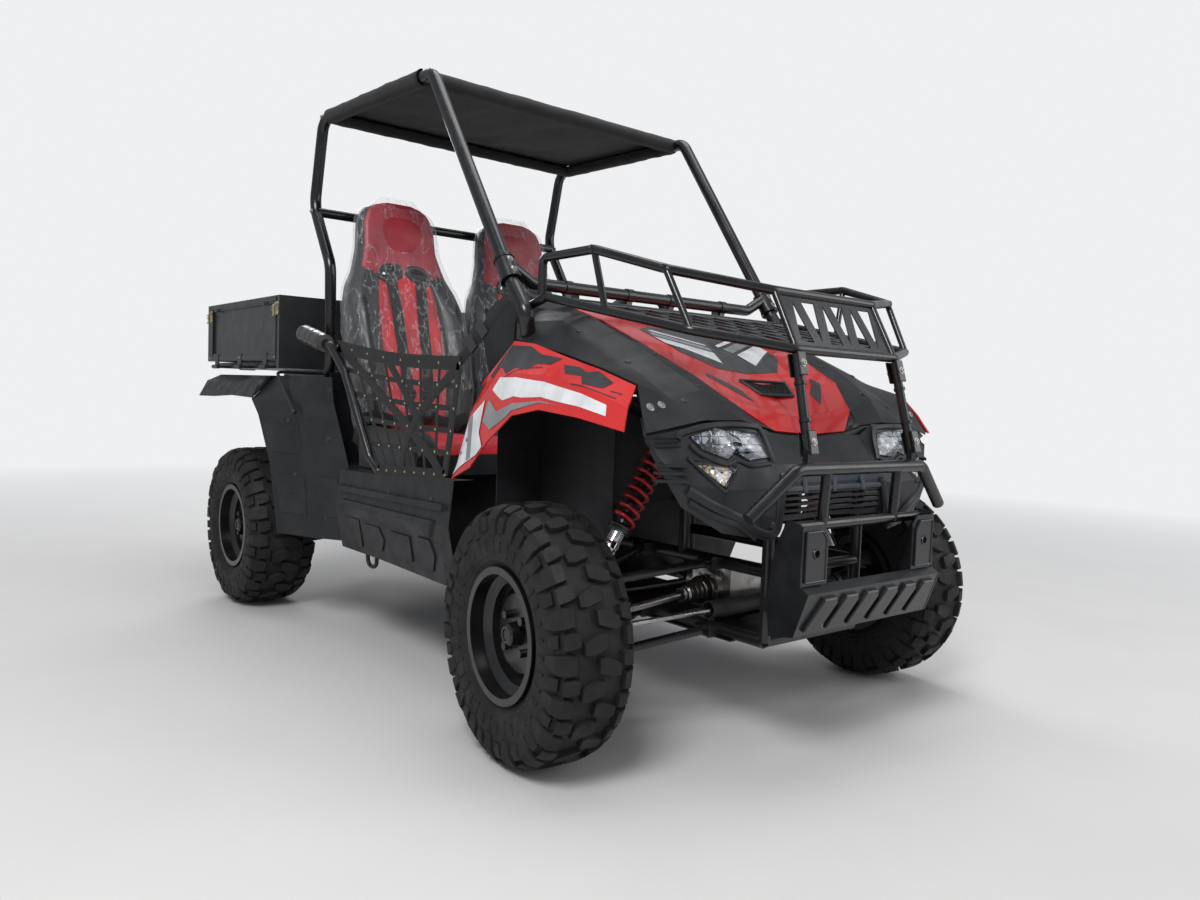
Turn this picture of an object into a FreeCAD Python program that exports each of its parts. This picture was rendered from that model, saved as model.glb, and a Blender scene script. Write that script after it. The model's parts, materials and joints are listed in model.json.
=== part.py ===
"""Side by side utility vehicle: two bucket seats under a tube cage with a canvas roof, a rack over the
hood, a bull bar with a skid guard, four lugged tyres on deep steel wheels and a tipping cargo bed with
drop sides. Millimetres, +Z up, -Y forward, +X on the driver's left, z = 0 on the ground. Every y below
is measured from the front axle, rearwards."""
import FreeCAD, Part
import Sketcher
import math
import os

Vec = FreeCAD.Vector

# Driving sizes: name, value, what it is.
SIZES = [
    ("front_axle_y", -1122, "front axle in the frame whose origin is under the middle of the vehicle"),
    ("wheelbase", 2006, "front axle to rear axle"),
    ("front_wheel_x", 690, "middle of a front wheel from the centre plane"),
    ("rear_wheel_x", 660, "middle of a rear wheel from the centre plane"),
    ("tyre_radius", 317.5, "25 inch tyre, out to the tips of its lugs"),
    ("front_tyre_width", 203, "8 inch section"),
    ("rear_tyre_width", 254, "10 inch section"),
    ("tyre_wall", 14, "thickness of the side wall"),
    ("bead_radius", 152, "bead seat of a 12 inch rim"),
    ("flange_radius", 165, "lip of the rim"),
    ("rim_wall", 5, "steel of the rim"),
    ("front_rim_width", 178, "between the lips of a front rim"),
    ("rear_rim_width", 216, "between the lips of a rear rim"),
    ("disc_inset", 58, "outer lip of the rim to the face of its disc"),
    ("stud_circle", 55, "radius of the circle of four wheel studs"),
    ("hub_radius", 44, "wheel hub"),
    ("hub_depth", 62, "wheel hub behind the face of the disc"),
    ("spindle_radius", 15, "stub axle that the hub turns on"),
    ("running_gap", 0.3, "between a shaft and what turns on it, and between pieces that only rest together"),
    ("kingpin_x", 612, "steering axis from the centre plane"),
    ("kingpin_radius", 9, "ball joint stud"),
    ("kingpin_reach", 97, "middle of a ball joint above or below the axle"),
    ("steer_arm", 115, "steering axis to the tie rod end"),
    ("parked_steer", 5.4, "degrees that the front wheels are turned to the right"),
    ("arm_tube_radius", 12, "suspension arm tube"),
    ("boss_radius", 18, "ball joint boss and arm bush"),
    ("arm_pivot_x", 222, "arm bushes from the centre plane"),
    ("arm_spread", 130, "arm bushes ahead of and behind their axle"),
    ("lower_arm_z", 290, "bushes of the lower arms"),
    ("upper_arm_z", 470, "bushes of the upper arms"),
    ("frame_radius", 17, "chassis rail"),
    ("upright_radius", 15.5, "upright and outrigger tube of the chassis"),
    ("cross_radius", 14, "cross tube of the chassis"),
    ("rail_x", 185, "chassis rail between the arms, from the centre plane"),
    ("cab_rail_x", 262, "chassis rail under the cab, from the centre plane"),
    ("cage_radius", 21, "main tube of the cage"),
    ("cage_front_x", 548, "front hoop from the centre plane"),
    ("cage_rear_x", 562, "rear hoop from the centre plane"),
    ("roof_front_y", 830, "front header"),
    ("roof_front_z", 1885, "front header"),
    ("roof_rear_y", 1648, "rear header"),
    ("roof_rear_z", 1908, "rear header"),
    ("cowl_bar_y", 385, "lower bar of the front hoop"),
    ("cowl_bar_z", 1212, "lower bar of the front hoop"),
    ("canvas", 6, "thickness of the roof cloth with its hem"),
    ("panel", 4, "thickness of a moulded panel"),
    ("floor_z", 307.3, "underside of the cab floor"),
    ("seat_base_z", 600, "shelf under the seats and top of the sills"),
    ("body_half_width", 640, "outer face of sill and fender"),
    ("seat_x", 272, "middle of a seat from the centre plane"),
    ("seat_width", 500, "across the bolsters"),
    ("cushion_height", 130, "seat cushion"),
    ("wheel_radius", 165, "steering wheel, to the middle of its rim"),
    ("bed_half_width", 660, "outer face of a drop side"),
    ("bed_front_y", 1815, "front face of the headboard"),
    ("bed_length", 915, "headboard to tailgate"),
    ("bed_floor_z", 985, "upper face of the bed floor"),
    ("bed_floor_thickness", 25, "pressed steel floor"),
    ("bed_height", 262, "drop side above the floor"),
    ("gate_thickness", 25, "drop side, tailgate and headboard"),
    ("gate_gap", 6, "between a gate and the panel beside it"),
    ("bed_pivot_y", 2640, "tipping axis"),
    ("bed_pivot_z", 925, "tipping axis"),
    ("bumper_radius", 16, "bull bar tube"),
    ("bumper_y", -440, "upper bar of the bull bar"),
    ("bumper_z", 742, "upper bar of the bull bar"),
    ("rack_radius", 12, "rack tube"),
    ("spring_radius", 34, "outside of a coil spring"),
]

doc = FreeCAD.newDocument("utv")
sheet = doc.addObject("Spreadsheet::Sheet", "Dims")
for row, (alias, number, note) in enumerate(SIZES, start=1):
    sheet.set("A%d" % row, alias)
    sheet.set("B%d" % row, str(number))
    sheet.set("C%d" % row, note)
    sheet.setAlias("B%d" % row, alias)
doc.recompute()
D = {alias: float(sheet.get(alias)) for alias, _, _ in SIZES}
AXLE_Z = D["tyre_radius"]
REAR_AXLE = D["wheelbase"]
DRAWN_WHEELBASE = 2006
GAP = D["running_gap"]
PANEL = D["panel"]
RIGHT, LEFT = -1, 1
parts = []


def at(x, y, z):
    """A point whose y is given from the front axle, in the frame of the vehicle."""
    return Vec(x, y + D["front_axle_y"], z)


def aft(y):
    """A y drawn behind the doors: it keeps its distance from the rear axle when the wheelbase changes."""
    return y + REAR_AXLE - DRAWN_WHEELBASE


def value(text):
    """What an expression in the names of the sheet comes to."""
    return float(sheet.evalExpression(text))


def feature(label, shape):
    """A sub-part whose shape comes from Part's own functions."""
    made = doc.addObject("Part::Feature", label)
    made.Label = label
    made.Shape = shape
    made.Placement = shape.Placement
    parts.append(made)
    return made


def body(label):
    made = doc.addObject("PartDesign::Body", label)
    made.Label = label
    parts.append(made)
    return made


def outline_sketch(owner, name, role, outlines, lift=None):
    """A sketch on an origin plane; each outline is a closed row of corners given as expressions."""
    made = owner.newObject("Sketcher::SketchObject", name)
    made.AttachmentSupport = [(next(f for f in owner.Origin.OriginFeatures if f.Role == role), "")]
    made.MapMode = "FlatFace"
    if lift:
        made.setExpression("AttachmentOffset.Base.z", lift)
    for outline in outlines:
        first = made.GeometryCount
        corners = [Vec(value(u), value(v), 0) for u, v in outline]
        made.addGeometry([Part.LineSegment(a, b) for a, b in zip(corners, corners[1:] + corners[:1])])
        count = len(corners)
        made.addConstraint([Sketcher.Constraint("Coincident", first + n, 2, first + (n + 1) % count, 1)
                            for n in range(count)])
        for n, texts in enumerate(outline):
            for kind, axis, text in zip(("DistanceX", "DistanceY"), (-2, -1), texts):
                if value(text) == 0:
                    made.addConstraint(Sketcher.Constraint("PointOnObject", first + n, 1, axis))
                    continue
                index = made.addConstraint(Sketcher.Constraint(kind, -1, 1, first + n, 1, value(text)))
                made.setExpression("Constraints[%d]" % index, text)
    return made


def circle_sketch(owner, name, role, circles, lift=None):
    """A sketch of circles: centre and radius given as expressions."""
    made = owner.newObject("Sketcher::SketchObject", name)
    made.AttachmentSupport = [(next(f for f in owner.Origin.OriginFeatures if f.Role == role), "")]
    made.MapMode = "FlatFace"
    if lift:
        made.setExpression("AttachmentOffset.Base.z", lift)
    for n, (u, v, radius) in enumerate(circles):
        centre = Vec(value(u), value(v), 0)
        made.addGeometry(Part.Circle(centre, Vec(0, 0, 1), value(radius)))
        index = made.addConstraint(Sketcher.Constraint("Radius", n, value(radius)))
        made.setExpression("Constraints[%d]" % index, radius)
        for kind, axis, text in (("DistanceX", -2, u), ("DistanceY", -1, v)):
            if value(text) == 0:
                made.addConstraint(Sketcher.Constraint("PointOnObject", n, 3, axis))
                continue
            index = made.addConstraint(Sketcher.Constraint(kind, -1, 1, n, 3, value(text)))
            made.setExpression("Constraints[%d]" % index, text)
    return made


def pad(owner, profile, length, reverse=False, symmetric=False):
    made = owner.newObject("PartDesign::Pad", profile.Name + "_pad")
    made.Profile = profile
    made.setExpression("Length", length)
    made.Reversed = reverse
    made.Midplane = symmetric
    return made


def revolve(owner, profile):
    """Turns a profile of (along, radius) about the first axis of its sketch."""
    made = owner.newObject("PartDesign::Revolution", profile.Name + "_turned")
    made.Profile = profile
    made.ReferenceAxis = (profile, ["H_Axis"])
    made.Angle = 360
    return made


def place(made, x, y, z, turn=None):
    """Binds a placement to the sheet; y is from the front axle and turn is about Z."""
    if turn:
        made.Placement.Rotation = FreeCAD.Rotation(Vec(0, 0, 1), 1)
        made.setExpression("Placement.Rotation.Angle", turn)
    made.setExpression("Placement.Base.x", x)
    made.setExpression("Placement.Base.y", "Dims.front_axle_y + " + y)
    made.setExpression("Placement.Base.z", z)


def mirrored(shape):
    return shape.mirror(Vec(0, 0, 0), Vec(1, 0, 0))


def both_sides(shape):
    """A shape and its twin across the centre plane, as solids that don't touch."""
    return Part.makeCompound([shape, mirrored(shape)])


def fused(shapes):
    return shapes[0].multiFuse(shapes[1:]).removeSplitter()


def rounded_path(points, radii):
    """Straight runs joined by tangent arcs; radii holds one bend radius for each inner point."""
    edges = []
    start = points[0]
    for before, corner, after, radius in zip(points, points[1:], points[2:], radii):
        inward = (corner - before).normalize()
        outward = (after - corner).normalize()
        turn = inward.getAngle(outward)
        reach = radius * math.tan(turn / 2)
        first, last = corner - inward * reach, corner + outward * reach
        bisector = (outward - inward).normalize()
        middle = corner + bisector * (radius / math.cos(turn / 2) - radius)
        edges.append(Part.LineSegment(start, first).toShape())
        edges.append(Part.Arc(first, middle, last).toShape())
        start = last
    edges.append(Part.LineSegment(start, points[-1]).toShape())
    return Part.Wire(edges)


def tube(points, radius, bend=60.0):
    """A round bar bent along points; bend is one radius or one for each inner point."""
    radii = bend if isinstance(bend, (list, tuple)) else [bend] * (len(points) - 2)
    path = rounded_path(points, radii)
    ring = Part.Wire(Part.makeCircle(radius, points[0], points[1] - points[0]))
    return path.makePipeShell([ring], True, False)


def rod(start, end, radius):
    along = end - start
    return Part.makeCylinder(radius, along.Length, start, along)


def turned(start, along, profile):
    """A solid turned about an axis from a closed profile of (distance along it, radius)."""
    along = Vec(along).normalize()
    side = along.cross(Vec(0, 0, 1)) if abs(along.z) < 0.9 else along.cross(Vec(0, 1, 0))
    side.normalize()
    points = [start + along * u + side * v for u, v in profile]
    return Part.Face(Part.makePolygon(points + points[:1])).revolve(start, along, 360)


def folds(start, end, count, deep):
    """Zigzag rim of a bellows or a spring: (distance, how far it stands in) at each fold."""
    pitch = (end - start) / count
    return [(start + pitch * (n + share), deep * inset) for n in range(count)
            for share, inset in ((0.0, 1), (0.32, 0), (0.68, 0))] + [(end, deep)]


def prism(points, sweep):
    return Part.Face(Part.makePolygon(points + points[:1])).extrude(sweep)


def across(outline, x0, x1):
    """A closed outline of (y, z) points, extruded across the vehicle from x0 to x1."""
    return prism([at(x0, y, z) for y, z in outline], Vec(x1 - x0, 0, 0))


def between(low, high):
    """A box between two corners (x, y, z)."""
    return Part.makeBox(high[0] - low[0], high[1] - low[1], high[2] - low[2], at(*low))


def skin(rows, inward, thickness=PANEL):
    """A moulded panel of even thickness through a grid of points on its outer face."""
    outer = [[at(*p) for p in row] for row in rows]
    high, wide = len(outer) - 1, len(outer[0]) - 1
    normals = [[Vec() for _ in row] for row in outer]
    for i in range(high):
        for j in range(wide):
            corners = [(i, j), (i, j + 1), (i + 1, j + 1), (i + 1, j)]
            a, b, c, d = [outer[m][n] for m, n in corners]
            normal = (c - a).cross(d - b).normalize()
            for m, n in corners:
                normals[m][n] += normal
    agree = sum(n.dot(Vec(*inward)) for row in normals for n in row)
    step = thickness if agree > 0 else -thickness
    inner = [[p + n.normalize() * step for p, n in zip(*pair)] for pair in zip(outer, normals)]

    def patch(a, b, c, d):
        return Part.makeRuledSurface(Part.LineSegment(a, b).toShape(), Part.LineSegment(d, c).toShape())

    faces = []
    for grid in (outer, inner):
        faces += [patch(grid[i][j], grid[i][j + 1], grid[i + 1][j + 1], grid[i + 1][j])
                  for i in range(high) for j in range(wide)]
    for i in range(high):
        faces += [patch(outer[i][j], outer[i + 1][j], inner[i + 1][j], inner[i][j]) for j in (0, wide)]
    for j in range(wide):
        faces += [patch(outer[i][j], outer[i][j + 1], inner[i][j + 1], inner[i][j]) for i in (0, high)]
    shell = Part.makeShell(faces)
    shell.sewShape()
    solid = Part.makeSolid(shell)
    if solid.Volume < 0:
        solid.reverse()
    return solid


def strip(section, x0, x1, thickness=PANEL):
    """A bent sheet: a row of (y, z) points, thickened to its left hand side, across the vehicle."""
    line = [Vec(y, z, 0) for y, z in section]
    normals = []
    for a, b in zip(line, line[1:]):
        run = (b - a).normalize()
        normals.append(Vec(-run.y, run.x, 0))
    inner = [line[0] + normals[0] * thickness]
    for point, before, after in zip(line[1:], normals, normals[1:]):
        middle = (before + after).normalize()
        inner.append(point + middle * (thickness / middle.dot(before)))
    inner.append(line[-1] + normals[-1] * thickness)
    return across([(p.x, p.y) for p in line + inner[::-1]], x0, x1)


def steered(shape, side):
    """Turns what rides on a knuckle to the parked steering angle."""
    parked = shape.copy()
    parked.rotate(at(side * D["kingpin_x"], 0, 0), Vec(0, 0, 1), -D["parked_steer"])
    return parked


# Wheels: columns are name, side, whether it steers, and the names of its own sizes.
WHEELS = [
    ("front_right", RIGHT, True, "front"),
    ("front_left", LEFT, True, "front"),
    ("rear_right", RIGHT, False, "rear"),
    ("rear_left", LEFT, False, "rear"),
]


def place_wheel(made, side, steers, end):
    """Sets a wheel, modelled with its outer side towards +X, at its corner of the vehicle."""
    flip = "0" if side == LEFT else "180"
    if steers:
        arm = "(Dims.front_wheel_x - Dims.kingpin_x)"
        x = "%d * (Dims.kingpin_x + %s * cos(Dims.parked_steer))" % (side, arm)
        y = "%d * %s * sin(Dims.parked_steer)" % (-side, arm)
        place(made, x, y, "Dims.tyre_radius", flip + " - Dims.parked_steer")
    else:
        place(made, "%d * Dims.%s_wheel_x" % (side, end), "Dims.wheelbase", "Dims.tyre_radius",
              "180" if side == RIGHT else None)


LUG_HEIGHT = 14
LUG_PITCHES = 13


def wheel_point(across, radius, angle):
    """A point of a wheel whose axis is X; angle 0 is the point on the ground."""
    return Vec(across, radius * math.sin(angle), -radius * math.cos(angle))


def carcass(width):
    """Tyre without its tread: a flat crown, sloped shoulders, walls and beads, in flat facets."""
    steps = 2 * LUG_PITCHES
    crown, bead = D["tyre_radius"] - LUG_HEIGHT, D["bead_radius"] / math.cos(math.pi / steps)
    tall, wall = crown - bead, D["tyre_wall"]
    # Half of the section from the crown round to the inside: share of the width, radius.
    half = [(0.31, crown), (0.485, crown - 0.32 * tall), (0.36, bead), (0.28, bead),
            (0.43 - wall / width, crown - wall - 0.1 * tall)]
    section = [(share * width, r) for share, r in half] + [(-share * width, r) for share, r in half[::-1]]
    rings = [[wheel_point(u, r, math.tau * (n + 0.5) / steps) for u, r in section] for n in range(steps)]
    faces = []
    for a, b in zip(rings, rings[1:] + rings[:1]):
        for i in range(len(section)):
            k = (i + 1) % len(section)
            faces.append(Part.Face(Part.makePolygon([a[i], a[k], b[k], b[i], a[i]])))
    solid = Part.makeSolid(Part.makeShell(faces))
    if solid.Volume < 0:
        solid.reverse()
    return solid


def lug(outline, angle, length):
    """Block of tread: an outline of (across, radius), as long round the tyre as given."""
    ahead = Vec(0, math.cos(angle), math.sin(angle))
    return prism([wheel_point(u, r, angle) - ahead * (length / 2) for u, r in outline], ahead * length)


def tyre_shape(width):
    """Carcass with a middle block and two shoulder blocks at every pitch."""
    radius = D["tyre_radius"]
    crown = radius - LUG_HEIGHT
    tall = crown - D["bead_radius"]
    pitch = math.tau / LUG_PITCHES
    middle = [(-0.15, crown - 12), (-0.15, radius), (0.15, radius), (0.15, crown - 12)]
    shoulder = [(0.20, crown - 12), (0.20, radius - 3), (0.36, radius - 3), (0.50, crown - 0.24 * tall)]
    length = 0.44 * pitch * crown
    blocks = []
    for n in range(LUG_PITCHES):
        # Columns: outline, hand, share of a pitch it is shifted by.
        for outline, hand, shift in ((middle, 1, 0.0), (shoulder, 1, 0.5), (shoulder, -1, 0.5)):
            blocks.append(lug([(u * hand * width, r) for u, r in outline], (n + shift) * pitch, length))
    return fused([carcass(width)] + blocks)


def make_tyre(name, side, steers, end):
    made = feature("tyre_" + name, TYRES[end].copy())
    place_wheel(made, side, steers, end)


def make_rim(name, side, steers, end):
    """Rolled barrel, dished disc with its hub and cap, brake disc, and four studs."""
    made = body("rim_" + name)
    half, wall = "Dims.%s_rim_width / 2" % end, "Dims.rim_wall"
    bead, lip = "Dims.bead_radius", "Dims.flange_radius"
    well = bead + " - 22"
    face = "%s + %s - Dims.disc_inset" % (half, wall)
    back = face + " - Dims.hub_depth"
    bore = "Dims.spindle_radius + Dims.running_gap"
    # Columns: distance from the middle of the wheel, radius; the other half mirrors it.
    outer = [(half + " - 45", well), (half + " - 30", bead), (half, bead), (half, lip),
             (half + " + " + wall, lip)]
    inner = [(half + " + " + wall, "%s - %s" % (bead, wall)), (half + " - 32", "%s - %s" % (bead, wall)),
             (half + " - 47", "%s - %s" % (well, wall))]
    row = [("-(%s)" % u, v) for u, v in reversed(outer + inner)] + outer + inner
    revolve(made, outline_sketch(made, "barrel_" + name, "XZ_Plane", [row]))
    disc = [(face, bore), (face, "96"), (face + " - 16", "118"), (face + " - 16", well + " - 2"),
            (face + " - 22", well + " - 2"), (face + " - 22", "116"), (face + " - 6", "94"),
            (face + " - 6", "Dims.hub_radius"), (back + " + 16", "Dims.hub_radius"), (back + " + 16", "92"),
            (back + " + 10", "92"), (back + " + 10", "Dims.hub_radius"), (back, "Dims.hub_radius"),
            (back, bore)]
    revolve(made, outline_sketch(made, "disc_" + name, "XZ_Plane", [disc]))
    cap = [(face + " - 1", bore), (face + " - 1", "31"), (face + " + 30", "27"), (face + " + 36", "20"),
           (face + " + 36", bore)]
    revolve(made, outline_sketch(made, "cap_" + name, "XZ_Plane", [cap]))
    reach = "Dims.stud_circle * cos(45)"
    nut = circle_sketch(made, "nut_" + name, "YZ_Plane", [(reach, reach, "10")], face + " - 1")
    first = pad(made, nut, "21")
    turns = made.newObject("PartDesign::PolarPattern", "nuts_" + name)
    turns.Originals = [first]
    turns.Axis = (next(f for f in made.Origin.OriginFeatures if f.Role == "X_Axis"), [""])
    turns.Angle = 360
    turns.Occurrences = 4
    made.Tip = turns
    place_wheel(made, side, steers, end)


TYRES = {end: tyre_shape(D[end + "_tyre_width"]) for end in ("front", "rear")}
for wheel in WHEELS:
    make_tyre(*wheel)
    make_rim(*wheel)


# Running gear
def make_knuckle(side, name):
    """Upright between two ball joints, with the stub axle, its shoulder and the steering arm."""
    kx, reach, stud = D["kingpin_x"], D["kingpin_reach"], D["kingpin_radius"]
    half_boss = 12 + GAP
    face = D["front_wheel_x"] + D["front_rim_width"] / 2 + D["rim_wall"] - D["disc_inset"]
    hub_back = face - D["hub_depth"]
    post = between((kx - 12, -18, AXLE_Z - reach + half_boss + 8), (kx + 12, 18, AXLE_Z + reach - half_boss))
    pin = rod(at(kx, 0, AXLE_Z - reach - half_boss), at(kx, 0, AXLE_Z + reach + half_boss), stud)
    axle = rod(at(kx, 0, AXLE_Z), at(face + 33, 0, AXLE_Z), D["spindle_radius"])
    shoulder = rod(at(kx, 0, AXLE_Z), at(hub_back - 2, 0, AXLE_Z), 32)
    arm = between((kx - 8, -D["steer_arm"], AXLE_Z - 7), (kx + 8, 0, AXLE_Z + 7))
    eye = rod(at(kx, -D["steer_arm"], AXLE_Z - 7), at(kx, -D["steer_arm"], AXLE_Z + 7), 13)
    hole = rod(at(kx, -D["steer_arm"], AXLE_Z - 20), at(kx, -D["steer_arm"], AXLE_Z + 20), 6 + GAP)
    whole = fused([post, pin, axle, shoulder, arm, eye]).cut(hole)
    feature(name, steered(whole if side == LEFT else mirrored(whole), side))


def make_tie_rod(side, name):
    """Bar from the steering arm into the rack tube, with its ball stud through the arm."""
    kx, z = D["kingpin_x"], AXLE_Z + 7 + GAP + 9
    turn = math.radians(side * D["parked_steer"])
    ball = at(kx - D["steer_arm"] * math.sin(turn), -D["steer_arm"] * math.cos(turn), z)
    bar = rod(Vec(104 - D["steer_arm"] * math.sin(turn), ball.y, z), ball, 7)
    head = rod(ball - Vec(0, 0, 9), ball + Vec(0, 0, 9), 12)
    stud = rod(ball - Vec(0, 0, 28), ball, 6)
    whole = fused([bar, head, stud])
    feature(name, whole if side == LEFT else mirrored(whole))


def wishbone(axle_y, ball_z, pivot_z, carries_shock):
    """V shaped arm of a left hand wheel: ball joint boss, two legs, two bushes and the shock's bar."""
    ball = at(D["kingpin_x"], axle_y, ball_z)
    solids = [rod(ball - Vec(0, 0, 12), ball + Vec(0, 0, 12), D["boss_radius"])]
    for end in (-1, 1):
        pivot = at(D["arm_pivot_x"], axle_y + end * D["arm_spread"], pivot_z)
        solids.append(rod(ball, pivot, D["arm_tube_radius"]))
        solids.append(rod(pivot - Vec(0, 22, 0), pivot + Vec(0, 22, 0), D["boss_radius"]))
    if carries_shock:
        foot = shock_foot(axle_y)
        solids.append(rod(foot - Vec(0, 34, 0), foot + Vec(0, 34, 0), 8))
    bore = rod(ball - Vec(0, 0, 20), ball + Vec(0, 0, 20), D["kingpin_radius"] + GAP)
    return fused(solids).cut(bore)


def shock_foot(axle_y):
    share = 0.27
    z = AXLE_Z + D["kingpin_reach"]
    return at(D["kingpin_x"] + share * (D["arm_pivot_x"] - D["kingpin_x"]), axle_y,
              z + share * (D["upper_arm_z"] - z))


def shock_head(axle_y):
    return at(262, axle_y, 800)


def make_arms():
    arms = []
    for axle_y in (0, REAR_AXLE):
        arms.append(wishbone(axle_y, AXLE_Z - D["kingpin_reach"], D["lower_arm_z"], False))
        arms.append(wishbone(axle_y, AXLE_Z + D["kingpin_reach"], D["upper_arm_z"], True))
    feature("suspension_arms", Part.makeCompound(arms + [mirrored(arm) for arm in arms]))


SPRING_COILS = 9
SPRING_WIRE = 10


def shock_shape(axle_y):
    """Chrome body on the arm's bar, coil spring above it, and an eye at the hoop."""
    foot, head = shock_foot(axle_y), shock_head(axle_y)
    along = (head - foot).normalize()
    length = (head - foot).Length
    body_rod = rod(foot + along * 12, foot + along * 170, 20)
    rim = [(u, D["spring_radius"] - inset) for u, inset in folds(156, length - 40, SPRING_COILS, SPRING_WIRE)]
    spring = turned(foot, along, [(156, 0)] + rim + [(length - 40, 0)])
    shaft = rod(foot + along * 150, head - along * 12, 9)
    eyes = [rod(p - Vec(0, 13, 0), p + Vec(0, 13, 0), 17) for p in (foot, head)]
    bore = [rod(p - Vec(0, 30, 0), p + Vec(0, 30, 0), 8 + GAP) for p in (foot, head)]
    return fused([body_rod, spring, shaft] + eyes).cut(bore[0]).cut(bore[1])


# How far the sloping boot's end leans outwards at its top edge.
BOOT_LEAN = 2.5
BOOT_FOLDS = 6


def half_shaft(axle_y, outer_x):
    """Bar with a boot at each end, from the gearcase to the knuckle."""
    inner, outer = at(94 + GAP, axle_y, 362), at(outer_x, axle_y, AXLE_Z + 3)
    along = (outer - inner).normalize()
    bar = rod(inner, outer, 10)
    reach = (outer - inner).Length
    boots = []
    # Columns: first and last distance, first and last radius.
    for u0, u1, r0, r1 in ((0, 95, 40, 17), (reach - 60, reach, 17, 30)):
        rim = [(u, r0 + (r1 - r0) * (u - u0) / (u1 - u0) - inset) for u, inset in folds(u0, u1, BOOT_FOLDS, 4)]
        boots.append(turned(inner, along, [(u0, 0)] + rim + [(u1, 0)]))
    return fused([bar] + boots)


def gearcase(axle_y):
    """Final drive housing with a round bearing cap on each side and a nose for the propeller shaft."""
    case = between((-70, axle_y - 74, 300), (70, axle_y + 74, 430))
    caps = [rod(at(-94, axle_y, 362), at(94, axle_y, 362), 52)]
    nose = rod(at(0, axle_y, 362), at(0, axle_y + (130 if axle_y == 0 else -130), 362), 40)
    reach = D["rail_x"] - D["frame_radius"] - GAP
    beam = between((-reach, axle_y - 20, D["lower_arm_z"] - 6), (reach, axle_y + 20, 302))
    return fused([case, nose, beam] + caps)


def make_rear_hub_carriers():
    """Fixed upright and stub axle of each rear wheel."""
    kx, reach, stud = D["kingpin_x"], D["kingpin_reach"], D["kingpin_radius"]
    face = D["rear_wheel_x"] + D["rear_rim_width"] / 2 + D["rim_wall"] - D["disc_inset"]
    y = REAR_AXLE
    post = between((kx - 12, y - 18, AXLE_Z - reach + 20 + GAP), (kx + 12, y + 18, AXLE_Z + reach - 12 - GAP))
    pin = rod(at(kx, y, AXLE_Z - reach - 12), at(kx, y, AXLE_Z + reach + 12), stud)
    axle = rod(at(kx, y, AXLE_Z), at(face + 33, y, AXLE_Z), D["spindle_radius"])
    shoulder = rod(at(kx, y, AXLE_Z), at(face - D["hub_depth"] - 2, y, AXLE_Z), 32)
    feature("rear_hub_carriers", both_sides(fused([post, pin, axle, shoulder])))


COLUMN_RADIUS = 24
COLUMN_TILT = math.radians(35)
COLUMN_AXIS = Vec(0, -math.cos(COLUMN_TILT), -math.sin(COLUMN_TILT))
COLUMN_LENGTH = 330
WHEEL_HUB = at(D["seat_x"], 800, 1130)


def column_ends():
    return WHEEL_HUB + COLUMN_AXIS * (18 + GAP), WHEEL_HUB + COLUMN_AXIS * COLUMN_LENGTH


def make_steering():
    """Rack tube between the tie rods, and the column from the dash to the steering wheel."""
    y, z = -D["steer_arm"] * 0.93, AXLE_Z + 7 + GAP + 9
    rack = rod(at(-190, y, z), at(190, y, z), 24)
    bores = [rod(at(side * 20, y, z), at(side * 200, y, z), 20) for side in (RIGHT, LEFT)]
    rail, top = D["rail_x"], D["lower_arm_z"] + D["frame_radius"] + GAP
    feet = [between((side * rail - 8, y - 12, top), (side * rail + 8, y + 12, z - 10))
            for side in (RIGHT, LEFT)]
    rack = fused([rack] + feet).cut(bores[0]).cut(bores[1])
    hub, axis = WHEEL_HUB, COLUMN_AXIS
    column = rod(*column_ends(), COLUMN_RADIUS)
    feature("steering_gear", Part.makeCompound([rack, column]))
    torus = Part.makeTorus(D["wheel_radius"], 13, hub, axis)
    boss = rod(hub - axis * 20, hub + axis * 18, 38)
    sideways, upwards = Vec(1, 0, 0), axis.cross(Vec(1, 0, 0))
    spokes = []
    for angle in (0, 180, 270):
        out = sideways * math.cos(math.radians(angle)) + upwards * math.sin(math.radians(angle))
        spokes.append(rod(hub, hub + out * D["wheel_radius"], 8))
    feature("steering_wheel", fused([torus, boss] + spokes))


make_knuckle(RIGHT, "knuckle_right")
make_knuckle(LEFT, "knuckle_left")
make_tie_rod(RIGHT, "tie_rod_right")
make_tie_rod(LEFT, "tie_rod_left")
make_arms()
springs = [shock_shape(axle_y) for axle_y in (0, REAR_AXLE)]
feature("shocks", Part.makeCompound(springs + [mirrored(shape) for shape in springs]))
shafts = [half_shaft(0, 572), half_shaft(REAR_AXLE, D["kingpin_x"] - 12 - BOOT_LEAN - GAP)]
cases = [gearcase(axle_y) for axle_y in (0, REAR_AXLE)]
feature("axle_drives", Part.makeCompound(shafts + [mirrored(shape) for shape in shafts] + cases))
make_rear_hub_carriers()
make_steering()


# Chassis
HOOP_Z = 845
BED_RAIL_X = 300
RECEIVER_HALF = 32
RECEIVER_WALL = 6.5
BED_RAIL_Z = 865
BEAM_END_RADIUS = 35
FEET_Y = aft(1720)
PIVOT_Y = aft(D["bed_pivot_y"])
TAIL_Y = aft(2300)
ENGINE_BAY = (aft(1640), aft(1760), aft(1790))


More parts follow.
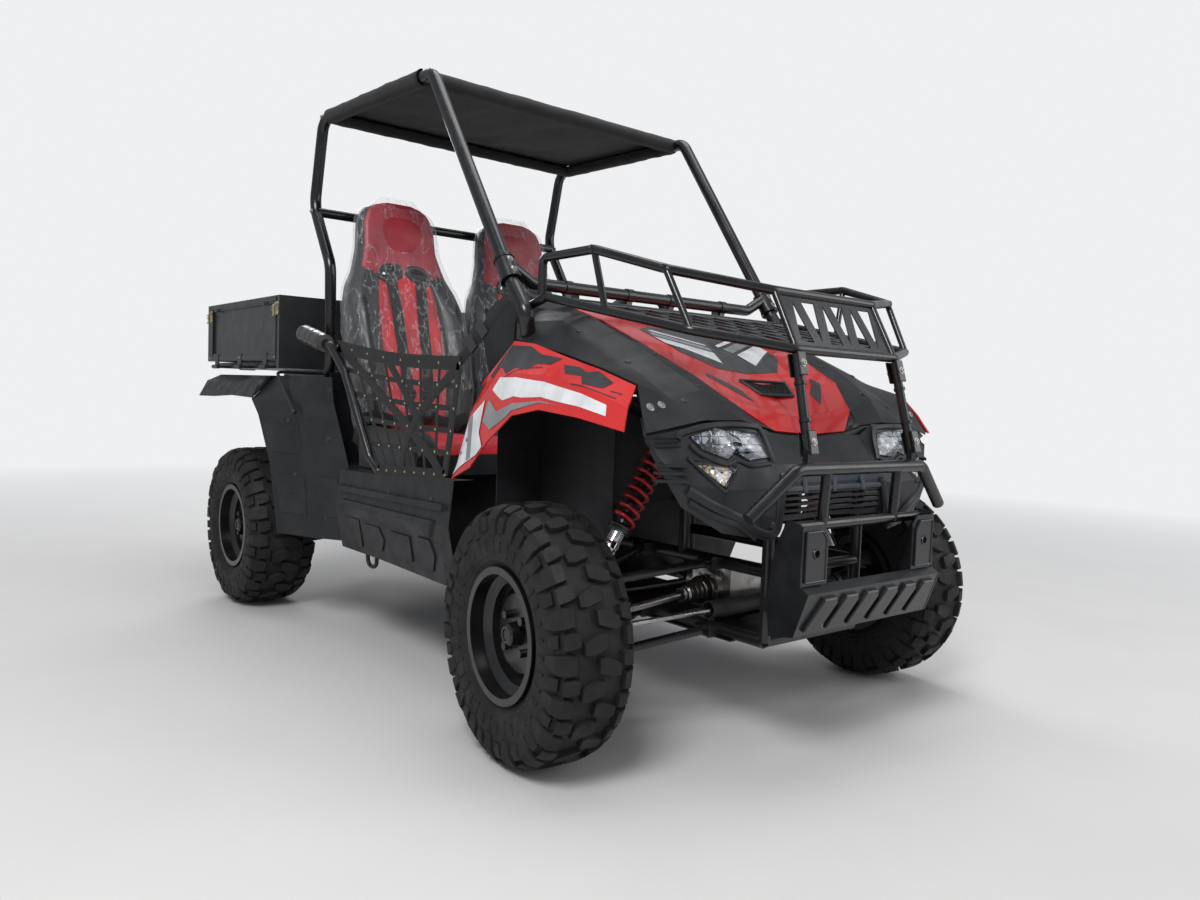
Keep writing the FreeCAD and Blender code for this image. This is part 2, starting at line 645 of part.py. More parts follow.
def frame_shape():
    """Welded tubes: rails, uprights, shock hoops, cage feet, bed rails and arm brackets."""
    radius, rail, cab = D["frame_radius"], D["rail_x"], D["cab_rail_x"]
    low, high = D["lower_arm_z"], D["upper_arm_z"]
    narrow, joined, wide = ENGINE_BAY
    post, cross, pivot_z = D["upright_radius"], D["cross_radius"], D["bed_pivot_z"]
    # Runs of one side, mirrored: points of (x, y, z), tube radius, bend radius.
    runs = [
        ([(rail, -300, low), (rail, 300, low), (cab, 460, low), (cab, narrow, low), (rail, wide, low),
          (rail, TAIL_Y, low)], radius, 120),
        ([(rail, -300, high), (rail, 345, high)], radius, 0),
        ([(rail, joined, high), (rail, TAIL_Y, high)], radius, 0),
        ([(rail, -300, low), (rail, -300, 700)], post, 0),
        ([(rail, -300, 700), (rail, 345, 900)], radius, 0),
        ([(rail, 345, low), (rail, 345, 985)], post, 0),
        ([(cab, FEET_Y - 70, low), (cab, FEET_Y - 70, 570)], cross, 0),
        ([(rail, TAIL_Y, low), (BED_RAIL_X, TAIL_Y, 600), (BED_RAIL_X, TAIL_Y, BED_RAIL_Z)], post, 80),
        ([(BED_RAIL_X, FEET_Y, 570), (BED_RAIL_X, wide, BED_RAIL_Z), (BED_RAIL_X, PIVOT_Y + 10, BED_RAIL_Z)],
         radius, 60),
        ([(cab, FEET_Y - 70, 570), (BED_RAIL_X, FEET_Y, 570), (520, FEET_Y, 570)], post, 20),
        ([(rail, joined, low), (rail, joined, high), (BED_RAIL_X, FEET_Y, 570)], cross, 30),
    ]
    solids = []
    for points, thick, bend in runs:
        run = tube([at(*p) for p in points], thick, bend)
        solids += [run, mirrored(run)]
    # Cross tubes: y, z, half length.
    for y, z, half in [(-300, low, rail), (-300, high, rail), (-300, 700, rail), (345, low, rail),
                       (345, 985, 505), (aft(1000), low, cab), (FEET_Y - 70, low, cab), (TAIL_Y, low, rail),
                       (PIVOT_Y + 10, BED_RAIL_Z, BED_RAIL_X)]:
        solids.append(rod(at(-half, y, z), at(half, y, z), cross))
    for axle_y in (0, REAR_AXLE):
        head = shock_head(axle_y)
        reach = head.x + 20
        solids.append(rod(at(-reach, axle_y, HOOP_Z), at(reach, axle_y, HOOP_Z), radius))
        solids += [rod(at(side * rail, axle_y, high), at(side * rail, axle_y, HOOP_Z), post)
                   for side in (RIGHT, LEFT)]
        for side in (RIGHT, LEFT):
            x = side * head.x
            for step in (-1, 1):
                ear_y = axle_y + step * (13 + GAP + 3)
                solids.append(between((x - 14, ear_y - 3, head.z - 16), (x + 14, ear_y + 3, HOOP_Z)))
            solids.append(rod(at(x, axle_y - 18, head.z), at(x, axle_y + 18, head.z), 8))
            for z in (low, high):
                for spread in (-D["arm_spread"], D["arm_spread"]):
                    for step in (-1, 1):
                        tab_y = axle_y + spread + step * (22 + GAP + 3)
                        low_x, high_x = sorted((side * rail, side * (D["arm_pivot_x"] + 16)))
                        solids.append(between((low_x, tab_y - 3, z - 15), (high_x, tab_y + 3, z + 15)))
    grip = at(-684, aft(1585), 796)
    lever = tube([at(-BED_RAIL_X, aft(1850), BED_RAIL_Z), at(-BED_RAIL_X - 30, aft(1826), 944),
                  at(-662, aft(1826), 944), grip], 6, [14, 20])
    knob = Part.makeSphere(11, grip)
    half, wall = RECEIVER_HALF, RECEIVER_WALL
    receiver = between((-half, TAIL_Y, low + 10), (half, TAIL_Y + 120, low + 10 + 2 * half))
    receiver = receiver.cut(between((-half + wall, TAIL_Y + 10, low + 10 + wall),
                                    (half - wall, TAIL_Y + 130, low + 10 + 2 * half - wall)))
    solids += [lever, knob, receiver]
    for side in (RIGHT, LEFT):
        for step in (-1, 1):
            x = side * BED_RAIL_X + step * (20 + 2 + 3)
            solids.append(between((x - 3, PIVOT_Y - 16, BED_RAIL_Z - 10), (x + 3, PIVOT_Y + 16, pivot_z + 14)))
        pin_x = side * BED_RAIL_X
        solids.append(rod(at(pin_x - 28, PIVOT_Y, pivot_z), at(pin_x + 28, PIVOT_Y, pivot_z), 8))
        solids.append(between((pin_x - 18, aft(1880), BED_RAIL_Z),
                              (pin_x + 18, aft(1930), pivot_z - BEAM_END_RADIUS - GAP)))
    return fused(solids)


feature("frame", frame_shape())


ROOF_REAR_Y = aft(D["roof_rear_y"])


def cage_runs():
    """Side loop of the cage: pillar stub, clamp, header, rear header, knee and foot."""
    x_front, x_rear = D["cage_front_x"], D["cage_rear_x"]
    return [(500, 322, 1003), (x_front, 276, 1112), (x_front, 345, 1195),
            (x_front, D["roof_front_y"], D["roof_front_z"]), (x_rear, ROOF_REAR_Y, D["roof_rear_z"]),
            (x_rear, aft(1722), 1590), (x_rear, aft(1560), 1350), (540, aft(1600), 1010),
            (505, FEET_Y - 6, 587.6)]


def cage_shape(extra=0.0):
    """Tube cage; extra grows every tube, for what fits round it."""
    radius = D["cage_radius"] + extra
    loop = tube([at(*p) for p in cage_runs()], radius, [30, 30, 60, 60, 120, 90, 120])
    solids = [loop, mirrored(loop)]
    front, rear = D["cage_front_x"], D["cage_rear_x"]
    header_y, header_z = D["roof_front_y"] + 60, D["roof_front_z"] + 1.7
    bar_y, bar_z = D["cowl_bar_y"], D["cowl_bar_z"]
    solids.append(rod(at(-front, header_y, header_z), at(front, header_y, header_z), radius - 2))
    solids.append(rod(at(-rear, ROOF_REAR_Y - 60, D["roof_rear_z"] - 1.7),
                      at(rear, ROOF_REAR_Y - 60, D["roof_rear_z"] - 1.7), radius - 2))
    solids.append(rod(at(-rear, aft(1700), 1567), at(rear, aft(1700), 1567), radius - 3))
    solids.append(tube([at(-front, 384, 1262), at(-front + 90, bar_y, bar_z), at(front - 90, bar_y, bar_z),
                        at(front, 384, 1262)], radius - 3, 40))
    if not extra:
        for side in (RIGHT, LEFT):
            foot, top = at(side * front, 345, 1195), at(side * front, D["roof_front_y"], D["roof_front_z"])
            along = (top - foot).normalize()
            solids.append(rod(foot + along * 20, foot + along * 90, radius + 7))
    return fused(solids)


def frame_clearance():
    half = 520
    return [rod(at(-half, 345, 985), at(half, 345, 985), D["cross_radius"] + GAP),
            rod(at(-half, FEET_Y, 570), at(half, FEET_Y, 570), D["upright_radius"] + GAP)]


cage = cage_shape()
for tool in frame_clearance():
    cage = cage.cut(tool)
cage = max(cage.Solids, key=lambda s: s.Volume)
feature("roll_cage", cage)


def make_canopy():
    """Roof cloth laced round the four headers: a sheet over them and a rolled hem under each."""
    inner = D["cage_radius"] + GAP
    outer = inner + D["canvas"]
    front_y, rear_y = D["roof_front_y"], ROOF_REAR_Y
    front_z, rear_z = D["roof_front_z"], D["roof_rear_z"]
    fx, rx = D["cage_front_x"], D["cage_rear_x"]
    slope = (rear_z - front_z) / (rear_y - front_y)
    hem_y = (front_y + 60, rear_y - 60)
    hem_z = (front_z + 60 * slope, rear_z - 60 * slope)
    rolls = [rod(at(side * fx, front_y + 40, front_z + 40 * slope),
                 at(side * rx, rear_y - 40, rear_z - 40 * slope), outer) for side in (RIGHT, LEFT)]
    rolls += [rod(at(-fx, y, z), at(fx, y, z), outer) for y, z in zip(hem_y, hem_z)]
    top = prism([at(-fx, hem_y[0], hem_z[0] + inner), at(fx, hem_y[0], hem_z[0] + inner),
                 at(rx, hem_y[1], hem_z[1] + inner), at(-rx, hem_y[1], hem_z[1] + inner)],
                Vec(0, 0, D["canvas"]))
    cloth = fused(rolls + [top])
    feature("canopy", cloth.cut(cage_shape(GAP)))


make_canopy()


# Body shell
FLOOR_HALF = 553


def make_floor():
    """Toe board, foot well, seat shelf and the wall behind the seats."""
    low, shelf = D["floor_z"], D["seat_base_z"]
    section = [(389, 900), (389, 560), (500, low), (aft(1000), low), (aft(1050), shelf), (aft(1560), shelf),
               (aft(1572), 950)]
    half = FLOOR_HALF
    liner = between((396, 60, 500), (400, 389 - GAP, 900))
    feature("cab_floor", Part.makeCompound([strip(section, -half, half), liner, mirrored(liner)]))


# Raised fields of the sill's lower face: corners of (y, z).
SILL_PADS = [
    [(600, 400), (622, 448), (700, 448), (722, 400), (700, 352), (622, 352)],
    [(750, 360), (750, 440), (880, 440), (905, 400), (880, 360)],
    [(935, 400), (960, 440), (1080, 440), (1080, 360), (960, 360)],
    [(1110, 352), (1110, 446), (1200, 446), (1250, 400), (1200, 352)],
]

# Upper edge of a sill: y, height above the shelf.
SILL_TOP = [(505, 34), (565, 30), (aft(1000), 8), (aft(1290), 0)]


def make_sills():
    """Faceted side panel below the door opening."""
    outer = D["body_half_width"]
    top, low = D["seat_base_z"] + PANEL, D["floor_z"] + 12
    # Columns: crease and bottom heights, and how far the bottom is tucked in.
    lower = [(500, 395, 22), (500, low, 30), (480, low + 8, 30), (470, low + 8, 28)]
    table = [(y, top + lift, *row) for (y, lift), row in zip(SILL_TOP, lower)]
    rows = [[(FLOOR_HALF + GAP, y, t), (outer - 14, y, t), (outer, y, c), (outer - tuck, y, b), (560, y, b - 4)]
            for y, t, c, b, tuck in table]
    crease, tuck, drop = 480, 29, 165
    pads = []
    for pad_outline in SILL_PADS:
        points = [at(outer - 4 - tuck * (crease - z) / drop, aft(y), z) for y, z in pad_outline]
        pads.append(prism(points, Vec(7, 0, 0)))
    feature("sills", both_sides(fused([skin(rows, (-1, 0, 0.1))] + pads)))


def make_rear_fenders():
    """Black panel from the sill up to the bed, flared round the front of the rear tyre."""
    # Rows go up; columns: z, then x and y of the front edge, the bend and the arch lip.
    table = [(340, 575, 1296, 655, 1420, 735, 1600), (600, 575, 1330, 655, 1500, 735, 1690),
             (775, 575, 1440, 655, 1560, 735, 1820), (835, 575, 1480, 650, 1600, 735, 1900),
             (930, 575, 1500, 620, 1630, 640, 1900)]
    rows = [[(x0, y0, z), (x1, y1, z), (x2, y2, z)] for z, x0, y0, x1, y1, x2, y2 in table]
    front = skin([[(x, aft(y), z) for x, y, z in row] for row in rows], (-0.75, 0.65, 0))
    # Columns: y, height of the top, of the shoulder and of the lip.
    back = [(1896, 930, 925, 840), (2150, 930, 900, 845), (2380, 930, 900, 835), (2600, 930, 900, 832)]
    rows = [[(575, aft(y), t), (640, aft(y), t), (700, aft(y), s), (735, aft(y), l)] for y, t, s, l in back]
    rear = skin(rows, (-0.4, 0, -0.9))
    shelf = D["seat_base_z"]
    tab = between((FLOOR_HALF + GAP, aft(1328), shelf - 2), (579, aft(1348), shelf + 6))
    feature("rear_fenders", both_sides(fused([front, rear, tab])))


# Line where fairing and front fender meet, from the front: x, y, z.
JOINT = [(555, -190, 925), (550, -50, 963), (550, 100, 998), (555, 220, 1030), (560, 310, 1040)]


def make_front_fenders():
    """Red panel over the front arch, running down to the sill behind the tyre."""
    middle = [(600, -215, 875), (612, -60, 920), (612, 90, 945), (612, 220, 950), (612, 330, 930)]
    lip = [(632, -240, 820), (640, -80, 845), (640, 80, 858), (640, 200, 838), (640, 310, 765)]
    rows = [list(row) for row in zip(JOINT, middle, lip)]
    rows.append([(585, 420, 930), (612, 450, 830), (640, 400, 685)])
    rows.append([(600, 500, 700), (615, 505, 680), (638, 500, 645)])
    left = skin(rows, (-1, 0, -0.45))
    feature("front_fenders", both_sides(left))


# Line where hood and fairing meet, from the front: x, y, z.
EDGE = [(150, -270, 826), (232, -225, 882), (300, -120, 962), (330, 50, 1045), (330, 220, 1112),
        (330, 370, 1158)]


def make_hood():
    """Sheet with a shallow valley down its middle, narrower at the nose."""
    valley = [817, 862, 928, 1030, 1102, 1165]
    rows = [[(-x, y, z), (-x * 0.5, y, (z + m) / 2), (0, y, m), (x * 0.5, y, (z + m) / 2), (x, y, z)]
            for (x, y, z), m in zip(EDGE, valley)]
    feature("hood", skin(rows, (0, 0.35, -1)))


# Slots through the inner slope of a fairing.
VENTS = 4


def make_fairings():
    """Raised black panel between the hood and each front fender."""
    crest = [(300, -290, 852), (350, -205, 922), (385, -50, 1010), (402, 200, 1122), (402, 420, 1140)]
    shoulder = [(420, -285, 850), (460, -200, 902), (475, -50, 992), (480, 200, 1098), (492, 405, 1100)]
    joint = [(585, -258, 812)] + [(x, y, z) for x, y, z in (JOINT[0], JOINT[1], JOINT[2], JOINT[4])]
    inner = [(214, -268, 842)] + [EDGE[1], EDGE[2], EDGE[3], EDGE[5]]
    rows = [[(a[0] + 1, a[1], a[2]), b, c, (d[0] - 4.3, d[1], d[2] + 5)]
            for a, b, c, d in zip(inner, crest, shoulder, joint)]
    left = skin(rows, (-0.15, 0.2, -1))
    stub = tube([at(*p) for p in cage_runs()[:4]], D["cage_radius"] + GAP, [30, 30])
    vents = []
    for n in range(VENTS):
        y = 40 + n * 30
        outline = [(346, y), (388, y + 16), (388, y + 28), (346, y + 12)]
        vents.append(prism([at(u, v, 1000) for u, v in outline], Vec(0, 0, 200)))
    left = left.cut(stub).cut(Part.makeCompound(vents))
    left = max(left.Solids, key=lambda s: s.Volume)
    feature("side_fairings", both_sides(left))


def nose_rows():
    """Upright rows of the nose from the middle outwards: x, then y and z of five points."""
    return [
        (0, (-272, 812), (-335, 747), (-350, 690), (-352, 640), (-350, 612)),
        (208, (-278, 816), (-335, 745), (-355, 690), (-357, 640), (-352, 606)),
        (240, (-292, 846), (-330, 750), (-360, 690), (-364, 620), (-362, 560)),
        (400, (-294, 846), (-316, 760), (-345, 690), (-345, 640), (-338, 588)),
        (500, (-274, 826), (-286, 770), (-306, 705), (-306, 680), (-300, 650)),
        (570, (-246, 806), (-247, 796), (-262, 785), (-262, 780), (-262, 775)),
    ]


def make_nose():
    """Black nose panel: shelf under the hood, lamp faces either side and a chin."""
    half = [[(x, y, z) for y, z in points] for x, *points in nose_rows()]
    rows = [[(-x, y, z) for x, y, z in row] for row in half[:0:-1]] + half
    whole = skin(rows, (0, 1, 0.1))
    lamps = Part.makeCompound([lamp_tool(HEADLAMP), mirrored(lamp_tool(HEADLAMP)), lamp_tool(MARKER),
                               mirrored(lamp_tool(MARKER)), MOUTH])
    slats = [between((-204, -356, z), (204, -334, z + 7)) for z in (628, 643, 658)]
    posts = [between((x - 5, -340, 618), (x + 5, -328, 676)) for x in (-120, 0, 120)]
    # Fins outboard of the marker lamps: heights.
    fins = [prism([at(488, -320, z), at(556, -274, z), at(556, -262, z), at(488, -300, z)], Vec(0, 0, 7))
            for z in (706, 724, 742)]
    bosses = [rod(at(x, -345, 631.5), at(x, -300 - D["upright_radius"] - GAP, 631.5), 6)
              for x in (-D["rail_x"], D["rail_x"])]
    fins += [mirrored(fin) for fin in fins]
    feature("nose", fused([whole.cut(lamps)] + slats + posts + bosses + fins))


# Lamp outlines seen from the front: x, z.
HEADLAMP = [(226, 762), (250, 822), (390, 836), (470, 812), (440, 782), (372, 758), (330, 770), (300, 755)]
MARKER = [(350, 738), (472, 752), (400, 694)]
MOUTH = between((-200, -400, 622), (200, -300, 672))


def lamp_tool(outline, grow=1.0, y0=-420, y1=-230):
    """A lamp's outline seen from the front, grown about its middle and run through the nose."""
    cx = sum(x for x, _ in outline) / len(outline)
    cz = sum(z for _, z in outline) / len(outline)
    points = [at(cx + (x - cx) * grow, y0, cz + (z - cz) * grow) for x, z in outline]
    return prism(points, Vec(0, y1 - y0, 0))


def make_lamps():
    """Lenses set into the nose, following its surface."""
    rows = [[(x, y, z) for y, z in points] for x, *points in nose_rows()]
    shell = skin([[(x, y + 3, z) for x, y, z in row] for row in rows], (0, 1, 0.1), 40)
    lenses = []
    for outline in (HEADLAMP, MARKER):
        lens = lamp_tool(outline, 0.985).common(shell)
        lenses.append(max(lens.Solids, key=lambda s: s.Volume))
    lenses.append(between((600, aft(2600) + GAP, 854), (690, aft(2622), 906)))
    feature("lamps", Part.makeCompound(lenses + [mirrored(lens) for lens in lenses]))


def make_dash():
    """Moulded dash under the cowl bar, and the plate under the cab."""
    outline = [(436, 905), (436, 1150), (470, 1172), (530, 1170), (590, 1135), (606, 1060), (570, 960),
               (510, 905)]
    lip = [(376, 1120), (440, 1120), (440, 1124), (376, 1124)]
    bar_y, bar_under = D["cowl_bar_y"], D["cowl_bar_z"] - D["cage_radius"] + 3 - GAP
    hangers = [between((x - 15, bar_y - 2, 1121), (x + 15, bar_y + 2, bar_under)) for x in (-300, 300)]
    dash = fused([across(outline, -478, 478), across(lip, -400, 400)] + hangers)
    feature("dashboard", dash.cut(rod(*column_ends(), COLUMN_RADIUS + GAP)))
    top = D["lower_arm_z"] - D["frame_radius"] - GAP
    feature("belly_plate", between((-200, -200, top - PANEL), (200, aft(1900), top)))


make_floor()
make_sills()
make_rear_fenders()
make_front_fenders()
make_hood()
make_fairings()
make_nose()
make_lamps()
make_dash()


# Front guard and rack
def make_bumper():
    """Bull bar: a bar with dropped ends, two posts and a lower bar."""
    y, z, r = D["bumper_y"], D["bumper_z"], D["bumper_radius"]
    top = tube([at(-400, y + 24, z - 112), at(-262, y, z), at(262, y, z), at(400, y + 24, z - 112)], r, 45)
    posts = [rod(at(x, y, z), at(x, y + 8, 600), r - 3) for x in (-150, 150)]
    low = rod(at(-276 + GAP, y + 8, 606), at(276 - GAP, y + 8, 606), r - 3)
    feature("front_bumper", fused([top, low] + posts))


def make_guard():
    """Skid guard: side plates, two upright faces with inset plates, and a ribbed lower face."""
    half = 280
    side = [(-432, 625), (-472, 618), (-479, 470), (-502, 458), (-464, 352), (-390, 340), (-380, 430),
            (-400, 560)]
    solids = [across(side, s * half, s * (half - 4)) for s in (RIGHT, LEFT)]
    solids.append(strip([(-476, 474), (-501, 459), (-463, 352), (-390, 342)], -half + 2, half - 2))
    for s in (RIGHT, LEFT):
        face = [(180, 470), (180, 590), (200, 614), (half - 2, 614), (half - 2, 470)]
        plate = [at(s * x, -477, z) for x, z in face]
        inset = [at(s * x, -481, z) for x, z in [(192, 482), (192, 580), (208, 600), (266, 600), (266, 482)]]
        hole = rod(at(s * 229, -490, 548), at(s * 229, -465, 548), 9)
        solids.append(prism(plate, Vec(0, 4, 0)).fuse(prism(inset, Vec(0, 5, 0))).cut(hole))
        solids.append(between((s * 205 - 20, -392, 380), (s * 205 + 20, -300 - D["upright_radius"] - GAP, 410)))
    solids.append(between((-half + 2, -396, 372), (half - 2, -392, 418)))
    down = (at(0, -463, 352) - at(0, -501, 459)).normalize()
    out = Vec(0, down.z, -down.y)
    top = at(0, -501, 459)
    for n in range(6):
        x = -228 + n * 84
        outline = [(x + 26, 14), (x + 52, 14), (x + 58, 24), (x + 20, 100), (x - 22, 100), (x + 16, 24)]
        rib = prism([top + Vec(u, 0, 0) + down * v for u, v in outline], out * -8)
        solids.append(rib)
    feature("skid_guard", fused(solids))


# Corners of the rack on the left, from the rear: x, y, z.
RACK_UPPER = [(508, 262, 1168), (519, 248, 1264), (519, 29, 1266), (461, -176, 1207), (205, -295, 1174)]
RACK_LOWER = [(524, 322, 1130), (505, 245, 1160), (449, -254, 1060), (207, -374, 1028)]


def loop_over(corners):
    left = [at(*p) for p in corners]
    return [Vec(-p.x, p.y, p.z) for p in left] + left[::-1]


def make_rack():
    """Hood rack: two rails, posts between them, a front truss panel, a grid floor and two struts."""
    r = D["rack_radius"]
    upper = tube(loop_over(RACK_UPPER), r, [22, 45, 40, 40, 40, 40, 45, 22])
    lower = tube(loop_over(RACK_LOWER), r, 30)
    solids = [upper, lower]
    # Posts: upper end, lower end.
    for top, foot in [((519, 29, 1266), (482, 20, 1115)), ((461, -176, 1207), (447, -254, 1060)),
                      ((205, -295, 1174), (207, -374, 1028))]:
        post = rod(at(*top), at(*foot), r - 3)
        solids += [post, mirrored(post)]
    solids.append(rod(at(-499, 190, 1149), at(499, 190, 1149), r - 2))
    low, high = at(0, -374, 1028), at(0, -295, 1174)
    rise = (high - low).normalize()
    height = (high - low).Length
    normal = rise.cross(Vec(1, 0, 0)).normalize()

    def panel_point(u, v):
        return low + Vec(u, 0, 0) + rise * v

    corners = [(-205, 4), (205, 4), (205, height - 4), (-205, height - 4)]
    sheet_metal = prism([panel_point(u, v) for u, v in corners], normal * 3)
    holes = []
    edge, pitch = 24, 60
    for n in range(6):
        u = -178 + n * pitch
        up = [(u + 4, edge), (u + pitch - 4, edge), (u + pitch / 2, height - edge)]
        if n % 2:
            up = [(a, height - b) for a, b in up]
        holes.append(prism([panel_point(*p) - normal * 5 for p in up], normal * 12))
    solids.append(sheet_metal.cut(Part.makeCompound(holes)))
    slope = (1149 - 1040) / (190 + 340)
    for n in range(9):
        x = -360 + 90 * n
        front = -368 if abs(x) < 210 else -368 + (abs(x) - 207) * 0.5
        solids.append(rod(at(x, front, 1028 + (front + 374) * slope + 3), at(x, 190, 1149), 4))
    for n in range(5):
        y = -270 + 92 * n
        reach = 449 + (y + 254) * 0.112 - 4 if y > -254 else 410
        z = 1028 + (y + 374) * slope + 2
        solids.append(rod(at(-reach, y, z), at(reach, y, z), 4))
    stub = rod(at(D["cage_front_x"], 276, 1112), at(D["cage_front_x"], 345, 1195), D["cage_radius"] + GAP)
    rack = fused(solids).cut(stub).cut(mirrored(stub))
    rack = max(rack.Solids, key=lambda s: s.Volume)
    bar = D["bumper_z"] + D["bumper_radius"] + GAP
    strut = rod(at(207, -376, 1028 - r), at(219, -436, bar + 16), r)
    foot = between((207, -444, bar), (231, -428, bar + 30))
    strut = strut.fuse(foot).removeSplitter()
    feature("hood_rack", Part.makeCompound([rack, strut, mirrored(strut)]))


make_bumper()
make_guard()
make_rack()


# Seats
def seat_back_profile():
    """Front face of a seat back, from the cushion up: y, z."""
    line = [(1372, 745), (1425, 1000), (1515, 1300), (1560, 1450), (1588, 1625)]
    return [(aft(y), z) for y, z in line]


def make_seats():
    """Two bucket seats: cushion with side bolsters and a high back with shoulders and a headrest."""
    shelf = D["seat_base_z"] + PANEL + GAP
    top, x0, half = shelf + D["cushion_height"], D["seat_x"], D["seat_width"] / 2
    pan = [(945, shelf), (925, shelf + 60), (965, top), (1200, top - 18), (1362, top - 6), (1362, shelf)]
    side = [(955, shelf), (935, shelf + 70), (990, top + 34), (1200, top + 36), (1330, top + 30),
            (1362, top - 6), (1362, shelf)]
    pan, side = [[(aft(y), z) for y, z in line] for line in (pan, side)]
    cushion = fused([across(pan, x0 - half + 40, x0 + half - 40), across(side, x0 - half, x0 - half + 56),
                     across(side, x0 + half - 56, x0 + half)])
    feature("seat_cushions", both_sides(cushion))
    front = seat_back_profile()
    rear = [(1648, 1625), (1640, 1450), (1600, 1300), (1528, 1000), (1476, 745), (1470, shelf), (1368, shelf)]
    outline = [(205, shelf), (half - 8, 850), (half - 2, 1100), (half - 6, 1240), (200, 1345), (166, 1440),
               (164, 1540), (120, 1610), (60, 1624)]
    slab = across(front + [(aft(y), z) for y, z in rear], x0 - half - 10, x0 + half + 10)
    ahead = aft(1300)
    faces = [at(x0 + x, ahead, z) for x, z in outline] + [at(x0 - x, ahead, z) for x, z in outline[::-1]]
    shape = prism(faces, Vec(0, 400, 0)).common(slab)
    wing = [(1375, 770), (1345, 830), (1365, 1000), (1450, 1240), (1515, 1300)]
    wings = []
    for s in (RIGHT, LEFT):
        inner, outer = sorted((x0 + s * (half - 64), x0 + s * (half - 10)))
        wings.append(across([(aft(y), z) for y, z in wing], inner, outer))
    slots = []
    for s in (RIGHT, LEFT):
        corners = [(x0 + s * 22, 1372), (x0 + s * 88, 1352), (x0 + s * 84, 1326), (x0 + s * 26, 1340)]
        slots.append(prism([at(x, ahead, z) for x, z in corners], Vec(0, 400, 0)))
    whole = fused([shape] + wings).cut(Part.makeCompound(slots))
    feature("seat_backs", both_sides(whole))
    strap = [(y - GAP, z) for y, z in front[:3]]
    belts = [strip(strap, x0 + s * 52 - 22, x0 + s * 52 + 22, 2.5) for s in (RIGHT, LEFT)]
    feature("seat_belts", Part.makeCompound(belts + [mirrored(belt) for belt in belts]))


def make_door_gear():
    """Padded grab hoop and webbing net of each door opening."""
    line = [(640, 1604, 1090), (640, 1359, 1039), (640, 1236, 947), (634, 1040, 668), (606, 1004, 606)]
    path = [(x, aft(y), z) for x, y, z in line]
    bar = tube([at(*p) for p in path], 15, [70, 70, 25])
    start, end = at(*path[0]), at(*path[1])
    sleeve = rod(start, start + (end - start).normalize() * 200, 33)
    stub = rod(at(640, aft(1592), 1082), at(548, aft(1592), 1082), 12)
    post = rod(at(562, aft(1560), 1350), at(540, aft(1600), 1010), D["cage_radius"] + GAP)
    edge = [(y, D["seat_base_z"] + PANEL + lift + GAP) for y, lift in SILL_TOP[1:]]
    sill = across(edge + [(edge[-1][0], 500), (edge[0][0], 500)], 500, 700)
    hoop = fused([bar, sleeve, stub]).cut(post).cut(sill)
    hoop = max(hoop.Solids, key=lambda s: s.Volume)
    feature("side_hoops", both_sides(hoop))
    x0, thick = 621.5, 3.2
    top_rear, top_front, low_front, low_rear = [Vec(0, y, z) for y, z in
                                                ((aft(1330), 1040), (487, 976), (555, 650), (aft(990), 628))]

    def net_point(u, v):
        upper = top_rear + (top_front - top_rear) * u
        lower = low_rear + (low_front - low_rear) * u
        return upper + (lower - upper) * v

    corners = [net_point(u, v) for u, v in ((0, 0), (1, 0), (1, 1), (0, 1))]
    sheet_net = prism([at(x0, p.y, p.z) for p in corners], Vec(thick, 0, 0))
    columns, rows, rib = 6, 4, 0.16
    cells = []
    for i in range(columns):
        for j in range(rows):
            spots = [((i + a) / columns, (j + b) / rows) for a, b in ((rib, rib), (1 - rib, rib),
                                                                      (1 - rib, 1 - rib), (rib, 1 - rib))]
            points = [net_point(0.03 + 0.94 * u, 0.04 + 0.92 * v) for u, v in spots]
            cells.append(prism([at(x0 - 2, p.y, p.z) for p in points], Vec(thick + 4, 0, 0)))
    net = sheet_net.cut(Part.makeCompound(cells))
    high, low = at(x0, 503, 994), at(x0, 492, 954)
    run = at(572, 334, 1160) - (high + low) / 2
    strap = prism([high, low, low + run, high + run], Vec(thick, 0, 0))
    net = fused([net, strap]).cut(tube([at(*p) for p in path], 15 + GAP, [70, 70, 25]))
    net = max(net.Solids, key=lambda s: s.Volume)
    feature("side_nets", both_sides(net))


make_seats()
make_door_gear()


# Cargo bed
HINGE_X = D["bed_half_width"] + 8
HINGE_Z = D["bed_floor_z"] - 20
BED_FRONT = aft(D["bed_front_y"])
HINGE_Y = BED_FRONT + D["bed_length"] + 8
BARREL = 9
BARREL_PIN = 5


def hinge_row(start, end):
    """Middles of the three hinges along an edge."""
    run = end - start
    return [start + run * share for share in (0.14, 0.5, 0.86)]


